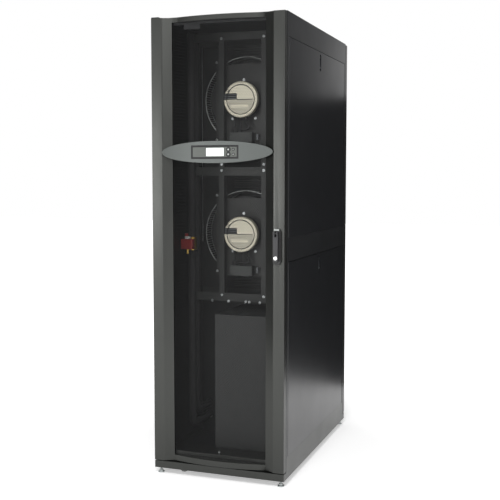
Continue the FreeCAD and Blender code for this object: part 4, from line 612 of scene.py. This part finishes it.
# %% [markdown]
# The swing handle is moulded nylon: a long rounded plate, and a lever that tapers to the top and carries the lock at
# its lower end. The lock's face is a chromed disc with a raised rim and a key slot, cut with a thin block. A pale cap
# closes the plate's top end.

# %% Handles
for end in ("front", "rear"):
    settle(solid_copy(f"{end}_handle_base", f"{end}_handle_plate", 2.2, 3), "handle_plastic", handle_nylon,
           f"{end}_door", replaces=[f"{end}_handle_base"])
    settle(solid_copy(f"{end}_handle_lever", f"{end}_lever_grip", 1.6, 3), "lever_plastic", lever_nylon,
           f"{end}_lever", replaces=[f"{end}_handle_lever"])
low, high = span("front_handle_base")
end_cap = block("front_handle_cap", (low[0] + 6, low[1] - 3, high[2] - 9), (high[0] - 6, low[1] + 1, high[2] - 1.5))
settle(bevel(end_cap, 1.5, 3), "handle_plastic", pale_abs, "front_door")

BARREL, BARREL_DEPTH, FACE_DEPTH, SLOT = 7.9, 13, 3.4, 0.7
low, high = span("front_handle_lock")
x, _, z = centre_of("front_handle_lock")
barrel = drum("front_lock_barrel", BARREL, BARREL_DEPTH, (x, high[1] - BARREL_DEPTH / 2, z))
settle(barrel, "lock_chrome", bright_chrome, "front_lever", replaces=["front_handle_lock"])
face = drum("front_lock_face", 8, FACE_DEPTH, (x, low[1] + FACE_DEPTH / 2, z))
inset_and_sink(face, 1.6, 0.6, facing_front)
carve(face, block("key_slot", (x - SLOT, low[1] - 3, z - 3.4), (x + SLOT, low[1] + 3, z + 3.4)))
bevel(face, 0.3, 2, lambda middle, along: abs(middle.y - low[1]) < 0.05)
settle(face, "lock_chrome", bright_chrome, "front_lever")

# %% [markdown]
# Both fans hang on the middle plane of the cabinet, one above the other. The upper one's motor is modelled, and copied
# to the lower one.

# %% Fan places
cap_low, cap_high = span("fan_motors")
CAP = (cap_high[0] - cap_low[0]) / 2
CAP_FRONT = cap_low[1]
BRACKET_FRONT = span("fan_brackets")[1][1] - 2
FANS = {fan: centre_of(f"{fan}_impeller")[2] for fan in ("upper", "lower")}
z = FANS["upper"]
DROP = (0, 0, FANS["lower"] - z)
print("fan axes at", FANS, "mm, caps", CAP, "mm in radius")

# %% [markdown]
# Each fan is driven by an external-rotor motor. What shows of it is the electronics cap: a die-cast disc with a
# rounded rim and six lobes below, a real groove with a black ring laid in it as painted shade, a ribbed plug housing at
# the left, and a lid over the lower half whose joint holds a black strip as painted shade. It starts as a cylinder
# whose front is inset and pushed in for the groove.

# %% Motor cap
CAP_DEPTH, GROOVE, LOBES = 24, 2.5, (-60, -38, -13, 14, 38, 60)
LOBE_REACH, PLUG_EDGE, LID_RADIUS = CAP - 6, -17, CAP - 18
cap = drum("upper_motor_cap", CAP, CAP_DEPTH, (0, CAP_FRONT + CAP_DEPTH / 2, z), sides=96)
bevel(cap, 5, 4, ahead_of(CAP_FRONT + 1))
for border, depth in ((9, GROOVE), (2.4, -GROOVE)):
    inset_and_sink(cap, border, depth, lambda middle, normal: normal.y < -0.99 and abs(middle.x) < 1
                   and abs(middle.z - z) < 1)
# A black ring in the cap's groove: painted shade of the groove.
dark_band = hoop("upper_cap_seal", CAP - 15.2, 2.3, (0, CAP_FRONT + 0.6, z))
for angle in map(math.radians, LOBES):
    lug = drum("lug", 9, 20, (math.sin(angle) * LOBE_REACH, CAP_FRONT + 13, z - math.cos(angle) * LOBE_REACH), sides=24)
    cap = join(cap, bevel(lug, 1.5, 2, ahead_of(CAP_FRONT + 4)))

carve(cap, block("plug_pocket", (-CAP - 5, CAP_FRONT - 5, z - 1), (PLUG_EDGE, CAP_FRONT + 9, z + 29)),
      block("lid_joint", (PLUG_EDGE, CAP_FRONT - 5, z - 1.4), (60, CAP_FRONT + 3, z + 1.4)))

plug = block("upper_plug_block", (-CAP + 1.5, CAP_FRONT + 5, z), (PLUG_EDGE - 1, CAP_FRONT + 12, z + 28))
bevel(plug, 0.8, 2)
fins = [block("plug_fin", (-CAP + 3, CAP_FRONT + 1, z + height), (PLUG_EDGE - 3, CAP_FRONT + 6, z + height + 2.6))
        for height in (4, 12.5, 21)]
fins = join(*[bevel(fin, 0.6, 2) for fin in fins])
fins.name = "upper_plug_fins"
# A black strip in the lid's joint: painted shade of the joint.
joint = block("lid_joint_shade", (PLUG_EDGE, CAP_FRONT - 0.4, z - 2.4), (58, CAP_FRONT + 2.5, z + 1.6))
dark_band = join(dark_band, bevel(joint, 0.4, 2))
lid = block("upper_lid", (-60, CAP_FRONT - 0.2, z - 62), (60, CAP_FRONT + 4, z - 3))
apply(lid, "BOOLEAN", operation="INTERSECT", object=drum("lid_edge", LID_RADIUS, 40, (0, CAP_FRONT, z), sides=96),
      solver="EXACT")
bpy.data.objects.remove(bpy.data.objects["lid_edge"])
bevel(lid, 0.6, 2, ahead_of(CAP_FRONT))
plate = block("upper_rating_plate", (-47, CAP_FRONT - 0.8, z - 36), (37, CAP_FRONT + 1, z - 23))
bevel(plate, 1.5, 3, along_y)
bung = drum("upper_bung", 7, 6, (-62, CAP_FRONT + 2.2, z + 42), sides=32)
inset_and_sink(bung, 2, 1, facing_front)

# %% [markdown]
# Behind the cap the motor is a ribbed casting, dipped black, that narrows where it passes through the bracket. Its
# ribs are one thin block, turned round the motor's axis and joined to the body. Under it hang three cable glands: a
# hexagon nut and a domed clamping nut, in which the cable disappears.

# %% Motor body and glands
body_depth = BRACKET_FRONT - CAP_FRONT - CAP_DEPTH
body = drum("upper_motor_body", 78, body_depth, (0, CAP_FRONT + CAP_DEPTH + body_depth / 2, z), sides=96)
stub = drum("motor_neck", 66, 18, (0, BRACKET_FRONT + 7, z), sides=96)
axle = drum("motor_axle", 8, cap_high[1] - BRACKET_FRONT, (0, (cap_high[1] + BRACKET_FRONT) / 2, z), sides=32)
RIBS = 36
first_rib = block("rib", (75, CAP_FRONT + 28, z - 1.2), (80.5, BRACKET_FRONT, z + 1.2))
bevel(first_rib, 0.6, 1, along_y)
ribs = [copy_to(first_rib, "rib", turn=math.radians(360 * i / RIBS), about=(0, 0, z)) for i in range(1, RIBS)]
body = join(body, stub, axle, first_rib, *ribs)

GLANDS = (-38, -12, 14)
gland_y = centre_of("motor_cables")[1]
glands = []
for x in GLANDS:
    nut = drum("gland_nut", 9.5, 8, (x, gland_y, z - CAP + 1), axis="z", sides=6)
    dome = drum("gland_dome", 8, 12, (x, gland_y, z - CAP - 6), axis="z", sides=32)
    bevel(dome, 2, 3, lambda middle, along: middle.z < z - CAP - 11)
    glands += [nut, dome]
gland = join(*glands)
gland.name = "upper_glands"

# %% [markdown]
# Four screws hold the motor's flange to the bracket. A screw is a short cylinder with a washer, its head rounded and
# its cross slot cut in. One is modelled, and every other screw on the cabinet's inside is a copy of it.

# %% Screws
HEAD, CROSS = 4.0, 2.4
screw = drum("pan_screw", HEAD, 3.6, (0, -1.8, 0), sides=24)
bevel(screw, 1.2, 3, lambda middle, along: middle.y < -3.5)
carve(screw, block("slot_a", (-0.5, -5, -CROSS), (0.5, -2.2, CROSS)),
      block("slot_b", (-CROSS, -5, -0.5), (CROSS, -2.2, 0.5)))
join(screw, drum("washer", HEAD * 1.5, 0.8, (0, -0.4, 0), sides=32))
MOTOR_SCREWS = ((-6, 94), (84, 29), (50, -81), (-60, -82))
motor_screws = join(*[copy_to(screw, "motor_screw", (x, BRACKET_FRONT, z + up)) for x, up in MOTOR_SCREWS])
motor_screws.name = "upper_motor_screws"

# %% [markdown]
# The motor is whole, so each of its pieces gets a twin on the lower fan, and both twins get their finish.

# %% Both motors
def settle_both(piece, slot, finish, **settings):
    """Settles an upper fan's piece and its copy at the lower fan on the cabinet."""
    twin = copy_to(piece, piece.name.replace("upper", "lower"), DROP)
    for one in (piece, twin):
        settle(one, slot, finish, **settings)


for piece, finish in ((cap, cast_alloy), (plug, black_rubber_and_shade), (fins, latch_grey), (dark_band, black_rubber_and_shade),
                      (lid, lid_alloy), (plate, cast_alloy), (bung, black_rubber_and_shade), (body, motor_dark),
                      (gland, black_rubber_and_shade), (motor_screws, zinc_plate)):
    settle_both(piece, "motor_alloy", finish)
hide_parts("fan_motors")

# %% [markdown]
# The guard is a cage of thin bars that run from a ring at the front to a ring on the bulkhead, so close together that a
# finger can't get in. One bar is copied round the axis.

# %% Fan guards
guard_low, guard_high = span("fan_cages")
guard_middle = centre_of("fan_cages")[1]
BAR_PITCH, RIM_WIRE, HALF_WIRE = 11, 2.4, 2.5
BARS = round(2 * math.pi * guard_high[0] / BAR_PITCH)
reach = guard_high[0] - HALF_WIRE
first_bar = drum("guard_bar", 1.3, guard_high[1] - guard_low[1] - 4, (reach, guard_middle, z), sides=8)
bars = [copy_to(first_bar, "guard_bar", turn=math.radians(360 * i / BARS), about=(0, 0, z)) for i in range(1, BARS)]
hoops = [hoop("guard_hoop", reach, wire, (0, y, z)) for y, wire in (
    (guard_low[1] + HALF_WIRE, RIM_WIRE), (guard_middle, 1.4), (guard_high[1] - HALF_WIRE, RIM_WIRE))]
guard = join(first_bar, *bars, *hoops)
guard.name = "upper_guard"
settle_both(guard, "guard_wire", guard_zinc, smooth=60)
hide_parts("fan_cages")

# %% [markdown]
# A junction box at the foot of each bracket takes the motor's cables. Its lid is a separate shallow block, so a dark
# line runs round it, and it has four small screws. Beside it sits a plug connector.

# %% Junction boxes
box_low, box_high = span("junction_boxes")
BOX_DROP, BOX_HEIGHT = 146, 46
box_top = z - BOX_DROP
box_foot = box_top - BOX_HEIGHT
shell = block("upper_box_shell", (box_low[0], box_low[1] + 9, box_foot), (box_high[0], box_high[1], box_top))
bevel(shell, 3, 3, along_y)
box_lid = block("box_lid", (box_low[0], box_low[1], box_foot), (box_high[0], box_low[1] + 8.2, box_top))
bevel(box_lid, 3, 3, along_y)
bevel(box_lid, 1, 2, ahead_of(box_low[1] + 0.1))
lid_screws = [copy_to(screw, "lid_screw", (x, box_low[1] + 1.5, height))
              for x in (box_low[0] + 9, box_high[0] - 9) for height in (box_foot + 9, box_top - 9)]
shell = join(shell, box_lid, *lid_screws)
shell.name = "upper_box"
settle_both(shell, "box_plastic", box_grey)
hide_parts("junction_boxes")

connector = block("upper_connector", (box_high[0] + 12, BRACKET_FRONT - 16, box_foot + 12),
                  (box_high[0] + 22, BRACKET_FRONT, box_top - 8))
settle_both(bevel(connector, 2, 2), "box_plastic", latch_grey)
collar = drum("upper_collar", 8, 14, (box_high[0] + 36, BRACKET_FRONT - 7, box_top - 12), sides=32)
settle_both(inset_and_sink(collar, 3, 2, facing_front), "box_plastic", black_rubber_and_shade)

# %% [markdown]
# Three cables leave each motor. The left and the middle one drop in an easy curve from their glands into the box, and
# the right one swings out first. A cable is a curve with a round section. Its few points are where a fitter would hold
# it: each has its place across, its distance from the glands' plane and its height.

# %% Motor cables
def cable(name, points, radius):
    """A cable through points in mm, riding on the cabinet."""
    curve = bpy.data.curves.new(name, "CURVE")
    curve.dimensions = "3D"
    spline = curve.splines.new("NURBS")
    spline.points.add(len(points) - 1)
    for point, (x, y, height) in zip(spline.points, points):
        point.co = (*mm(x, gland_y + y, height), 1)
    spline.order_u = 3
    spline.use_endpoint_u = True
    curve.bevel_depth, curve.bevel_resolution, curve.use_fill_caps = radius * MM, 4, True
    piece = bpy.data.objects.new(name, curve)
    bpy.context.scene.collection.objects.link(piece)
    piece.data.materials.append(cable_pvc)
    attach(piece, "cabinet")
    return piece


for fan, height in FANS.items():
    top, entry = height - CAP - 8, height - BOX_DROP
    left = cable(f"{fan}_left_cable", ((-38, 0, top + 6), (-38, 0, top - 14), (-40, -6, top - 32),
                                       (-52, -4, entry + 18), (-50, 0, entry + 8), (-48, 0, entry - 4)), 5)
    cable(f"{fan}_right_cable", ((14, 0, top + 6), (14, 0, top - 14), (36, -6, top - 32), (22, -10, entry + 12),
                                 (-16, -6, entry + 16), (-30, -2, entry + 10), (-32, 0, entry - 4)), 5)
    cable(f"{fan}_middle_cable", ((-12, 0, top + 6), (-12, 0, top - 12), (-10, -5, top - 30),
                                  (-4, -3, entry + 14), (-12, 0, entry + 6), (-12, 0, entry - 4)), 4)
    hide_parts("motor_cables")

# %% [markdown]
# The brackets and trays are screwed together with zinc-plated screws, which show as bright dots through the door. Each
# dot is the screw from before, copied to its place on a tray's front edge or a bracket's corner.

# %% Screws of the fan deck
TRAY_FRONT = span("fan_frame")[0][1]
SCREWS = [(side * 139, BRACKET_FRONT, height + up)
          for height in FANS.values() for side in (-1, 1) for up in (176, -177)]
SCREWS += [(side * 102, TRAY_FRONT, height) for side in (-1, 1) for height in (1938, 1370, 1342, 768)]
SCREWS += [(x, TRAY_FRONT, 740) for x in (-150, -69, 16, 33, 84, 140)]
deck_screws = join(*[copy_to(screw, "deck_screw", place) for place in SCREWS])
deck_screws.name = "deck_screws"
settle(deck_screws, "galvanised_steel", zinc_plate)
bpy.data.objects.remove(screw)
print(len(SCREWS), "screws on the fan deck")

# %% [markdown]
# The electrical box keeps its solid and gets a cover with rounded bends. The bulkhead behind the fans is stiffened by
# three groups of pressed ribs a finger's width apart, which show as fine lines above and below the brackets.

# %% Box cover and bulkhead ribs
settle(solid_copy("electrical_box_cover", "box_cover", 1.2), "inner_steel", cover_grey,
       replaces=["electrical_box_cover"])
BULKHEAD = span("fan_bulkhead")[0][1]
RIB_PITCH, RIB_GROUPS = 11, (0, 474, 1070)
first = drum("bulkhead_ribs", 2.4, 330, (60, BULKHEAD, 790), axis="x", sides=12)
ribs = [copy_to(first, "bulkhead_rib", (0, 0, foot + RIB_PITCH * i)) for foot in RIB_GROUPS for i in range(6)
        if foot + i]
settle(join(first, *ribs), "inner_steel", bracket_grey)

# %% [markdown]
# The valve on the supply pipe is turned by a small red motor with a white manual knob and a pointer on top, and has a
# brass drain nut below.

# %% Valve motor
KNOB_HEIGHT = 12
motor_low, motor_high = span("valve_actuator")
x, y, _ = centre_of("valve_actuator")
top = motor_high[2] - KNOB_HEIGHT
housing = block("actuator_housing", motor_low, (motor_high[0], motor_high[1], top))
bevel(housing, 4, 3)
inset_and_sink(housing, 5, 1.2, facing_front)
settle(housing, "actuator_plastic", actuator_red, replaces=["valve_actuator"])
for name, radius, length, place, sides, edge, slot, finish in (
        ("actuator_knob", 13, 10, (x, y, top + 6), 32, (2, 3), "actuator_plastic", clip_white),
        ("actuator_pointer", 8, 14, (x - 5, y, top + 19), 24, (1.5, 2), "actuator_plastic", actuator_red),
        ("valve_drain", 5.5, 22, (x, y, motor_low[2] - 10), 6, (0.6, 2), "brass", brass)):
    settle(bevel(drum(name, radius, length, place, axis="z", sides=sides), *edge), slot, finish)

# %% [markdown]
# Small bright things catch the eye through the sheet: a white cable clip on the left wall, the plated edge of the
# bulkhead in the corner beside it, and a stud on the shelf of the base.

# %% Left wall
WALL = -span("duct_liners")[1][0] + 1.5
edge = block("bulkhead_edge", (WALL + 1, BULKHEAD - 3, 1000), (WALL + 3.5, BULKHEAD, 1950))
settle(bevel(edge, 0.8, 2), "inner_steel", zinc_plate)
clip = block("cable_clip", (WALL, -150, 1583), (WALL + 8, -138, 1619))
settle(bevel(clip, 1.5, 2), "inner_steel", clip_white)
stud = drum("shelf_stud", 5, 7, (-18, -470, 106), axis="z", sides=24)
bevel(stud, 1.5, 3, lambda middle, along: middle.z > 109)
settle(stud, "galvanised_steel", zinc_plate)

# %% [markdown]
# The filters are pleated paper in a card frame. A pleated face is a strip of narrow slopes, made from a plane that is
# cut into rows and whose every other row of corners is pushed back by the depth of a pleat.

# %% Pleated filters
filter_low, filter_high = span("air_filters")
split = centre_of("air_filters")[2]
PLEAT, PLEAT_DEPTH, CARD, SUNK = 7, 6, 44, 8
for part, low, high in (("lower", filter_low[2], split), ("upper", split, filter_high[2])):
    for face, y, towards in (("front", filter_low[1] + SUNK, 1), ("rear", filter_high[1] - SUNK, -1)):
        wide, tall = filter_high[0] - filter_low[0] - CARD, high - low - CARD
        pleats = made_by(bpy.ops.mesh.primitive_grid_add, f"{part}_{face}_pleats", (*mm(wide, tall), 1), size=1,
                         x_subdivisions=1, y_subdivisions=int(tall // PLEAT), location=mm(0, y, (low + high) / 2),
                         rotation=(math.pi / 2, 0, 0))
        heights = sorted({round(v.co.z, 6) for v in pleats.data.vertices})
        step = heights[1] - heights[0]
        pick(pleats, "VERT", lambda place, normal: round((place.z * MM - heights[0]) / step) % 2 == 0)
        bpy.ops.transform.translate(value=mm(0, -towards * PLEAT_DEPTH, 0))
        done()
        settle(pleats, "filter_media", filter_paper, smooth=0)

# %% [markdown]
# The levelling feet are turned steel pads on threaded stems, with a hexagon to grip. Rings round the stem suggest the
# thread. One foot is modelled and copied to the other three corners.

# %% Levelling feet
foot_x, foot_y, _ = centre_of("front_left_foot")
foot_top = span("front_left_foot")[1][2]
PAD, GRIP, STEM, STEM_FOOT, THREAD_FOOT, THREAD_PITCH, THREADS = 15, 9.5, 4.6, 10, 13, 1.5, 9
foot = bevel(drum("front_left_foot_steel", PAD, 5, (foot_x, foot_y, 2.5), axis="z", sides=48), 1.2, 3)
grip = bevel(drum("foot_grip", GRIP, 7, (foot_x, foot_y, 8.5), axis="z", sides=6), 0.6, 2)
stem = drum("foot_stem", STEM, foot_top - STEM_FOOT, (foot_x, foot_y, (foot_top + STEM_FOOT) / 2), axis="z", sides=24)
threads = [hoop("foot_thread", STEM - 0.2, 0.55, (foot_x, foot_y, THREAD_FOOT + THREAD_PITCH * i), axis="z",
                sides=24, wire_sides=6) for i in range(THREADS)]
join(foot, grip, stem, *threads)
for node, right, rear in (("front_right_foot", -2, 0), ("rear_left_foot", 0, -2), ("rear_right_foot", -2, -2)):
    twin = copy_to(foot, node + "_steel", (foot_x * right, foot_y * rear, 0))
    settle(twin, "foot_steel", zinc_plate, node, replaces=[node])
settle(foot, "foot_steel", zinc_plate, "front_left_foot", replaces=["front_left_foot"])

# %% [markdown]
# A caster wheel shows its polyurethane tyre: the solid's copy with a rounded tread.

# %% Caster wheels
for corner in ("front_left", "front_right", "rear_left", "rear_right"):
    node = f"{corner}_caster_wheel"
    settle(solid_copy(node, f"{corner}_tyre", 1.5, 3), "caster_tread", tread, f"{corner}_wheel", replaces=[node])

# %% [markdown]
# The camera stands to the right of the front corner at about eye height, four metres away, with a short telephoto
# lens: the uprights stay nearly parallel.

# %% Camera
lens = bpy.data.cameras.new("portrait_lens")
lens.lens, lens.sensor_width = 64.08, 36.0
camera = bpy.data.objects.new("camera", lens)
bpy.context.scene.collection.objects.link(camera)
camera.location = mm(1401.7, -4033.5, 1316.7)
camera.rotation_euler = (math.radians(90 - 4.748), 0.0, math.radians(19.698))
bpy.context.scene.camera = camera

# %% [markdown]
# Five soft boxes light the cabinet. The one at the left front is mirrored by the door's flat strips and the one at the
# right front, higher, by its left slanting band. The one high in front, which no face mirrors, sends its light through
# the sheet onto the fans, and weak ones above and behind draw the edges.

# %% Lamps
def soft_box(name, place, aim, size, power):
    """A rectangular lamp at a place, turned towards a point; metres and watts."""
    light = bpy.data.lights.new(name, "AREA")
    light.shape, light.size, light.size_y, light.energy = "RECTANGLE", size[0], size[1], power
    lamp = bpy.data.objects.new(name, light)
    bpy.context.scene.collection.objects.link(lamp)
    lamp.location = place
    lamp.rotation_euler = (Vector(aim) - Vector(place)).to_track_quat("-Z", "Y").to_euler()


soft_box("front_left", (-1.9, -4.3, 1.3), (0, -0.5, 1.2), (1.5, 1.1), 34)
soft_box("front_right", (2.3, -4.9, 2.9), (0, -0.5, 1.3), (1.5, 1.3), 16)
soft_box("high_front", (0.7, -4.0, 4.6), (0, 0, 1.0), (1.6, 1.6), 150)
soft_box("top", (0.3, -0.6, 4.2), (0, 0, 0.8), (2.0, 2.0), 14)
soft_box("right_back", (3.2, 2.4, 2.8), (0.3, 0, 1.3), (1.0, 1.4), 5)

# %% [markdown]
# The surround is white where the camera, a mirror or a lens looks at it, and a plain grey for the soft light it gives.
# Light Path tells the rays apart.

# %% Surround
SOFT_GREY = 0.32
ADD = {"operation": "ADD", "use_clamp": True}


def seen_rays(tree):
    """One where the camera, a mirror or a lens looks, and nothing for soft light."""
    path = add_node(tree, "ShaderNodeLightPath").outputs
    bent = add_node(tree, "ShaderNodeMath", ADD, [path["Is Glossy Ray"], path["Is Transmission Ray"]])
    return add_node(tree, "ShaderNodeMath", ADD, [path["Is Camera Ray"], bent.outputs[0]]).outputs[0]


world = bpy.data.worlds.new("studio")
bpy.context.scene.world = world
world.use_nodes = True
tree = world.node_tree
surround = tree.nodes["Background"]
strength = add_node(tree, "ShaderNodeMapRange", {"To Min": SOFT_GREY, "To Max": 1.0}, Value=seen_rays(tree))
tree.links.new(strength.outputs["Result"], surround.inputs["Strength"])
surround.inputs["Color"].default_value = (1, 1, 1, 1)

# %% [markdown]
# The floor is pale, and shines a little where it is seen, less near the cabinet, so that the contact shadow stays and
# the far floor runs into the white surround. Three dark cards, as a photographer would use, stand at the far left,
# where the door's right slanting band looks, and behind, where the side panels look. No camera sees them.

# %% Floor and dark cards
NEAR, FAR, NEAR_GLOW, MATT = 0.6, 1.7, 0.42, 0.9


def stage_sheet(name, place, size, turn, colour):
    """A plain sheet of the stage, and the nodes of its material."""
    sheet = made_by(bpy.ops.mesh.primitive_plane_add, name, (*size, 1), size=1, location=place, rotation=turn)
    made = bpy.data.materials.new(name)
    made.use_nodes = True
    shader = made.node_tree.nodes["Principled BSDF"]
    shader.inputs["Base Color"].default_value = linear(colour)
    shader.inputs["Roughness"].default_value = MATT
    sheet.data.materials.append(made)
    return sheet, made.node_tree


_, tree = stage_sheet("floor", (0, 0, 0), (40, 40), (0, 0, 0), "#fbfbfb")
spot = add_node(tree, "ShaderNodeTexCoord").outputs["Object"]
far = add_node(tree, "ShaderNodeVectorMath", {"operation": "LENGTH"}, [spot])
white = add_node(tree, "ShaderNodeMapRange", {"From Min": NEAR, "From Max": FAR, "To Min": NEAR_GLOW, "To Max": 1.0},
                 Value=far.outputs["Value"])
lift = add_node(tree, "ShaderNodeMath", {"operation": "MULTIPLY"}, [white.outputs["Result"], seen_rays(tree)])
floor_shader = tree.nodes["Principled BSDF"]
floor_shader.inputs["Emission Color"].default_value = (1, 1, 1, 1)
floor_shader.inputs["Specular IOR Level"].default_value = 0.1
tree.links.new(lift.outputs["Value"], floor_shader.inputs["Emission Strength"])
for name, place, size, turn in (("dark_card_right", (1.15, 1.35, 0.9), (1.8, 1.8), 0),
                                ("dark_card_top", (1.35, 1.35, 2.3), (1.5, 1.2), 0),
                                ("dark_card_left", (-2.7, -2.3, 1.5), (3.4, 3.4), 65)):
    card, _ = stage_sheet(name, place, size, (math.pi / 2, 0, math.radians(turn)), "#101010")
    card.visible_camera = card.visible_diffuse = card.visible_shadow = False
bpy.context.scene.view_settings.view_transform = "Standard"
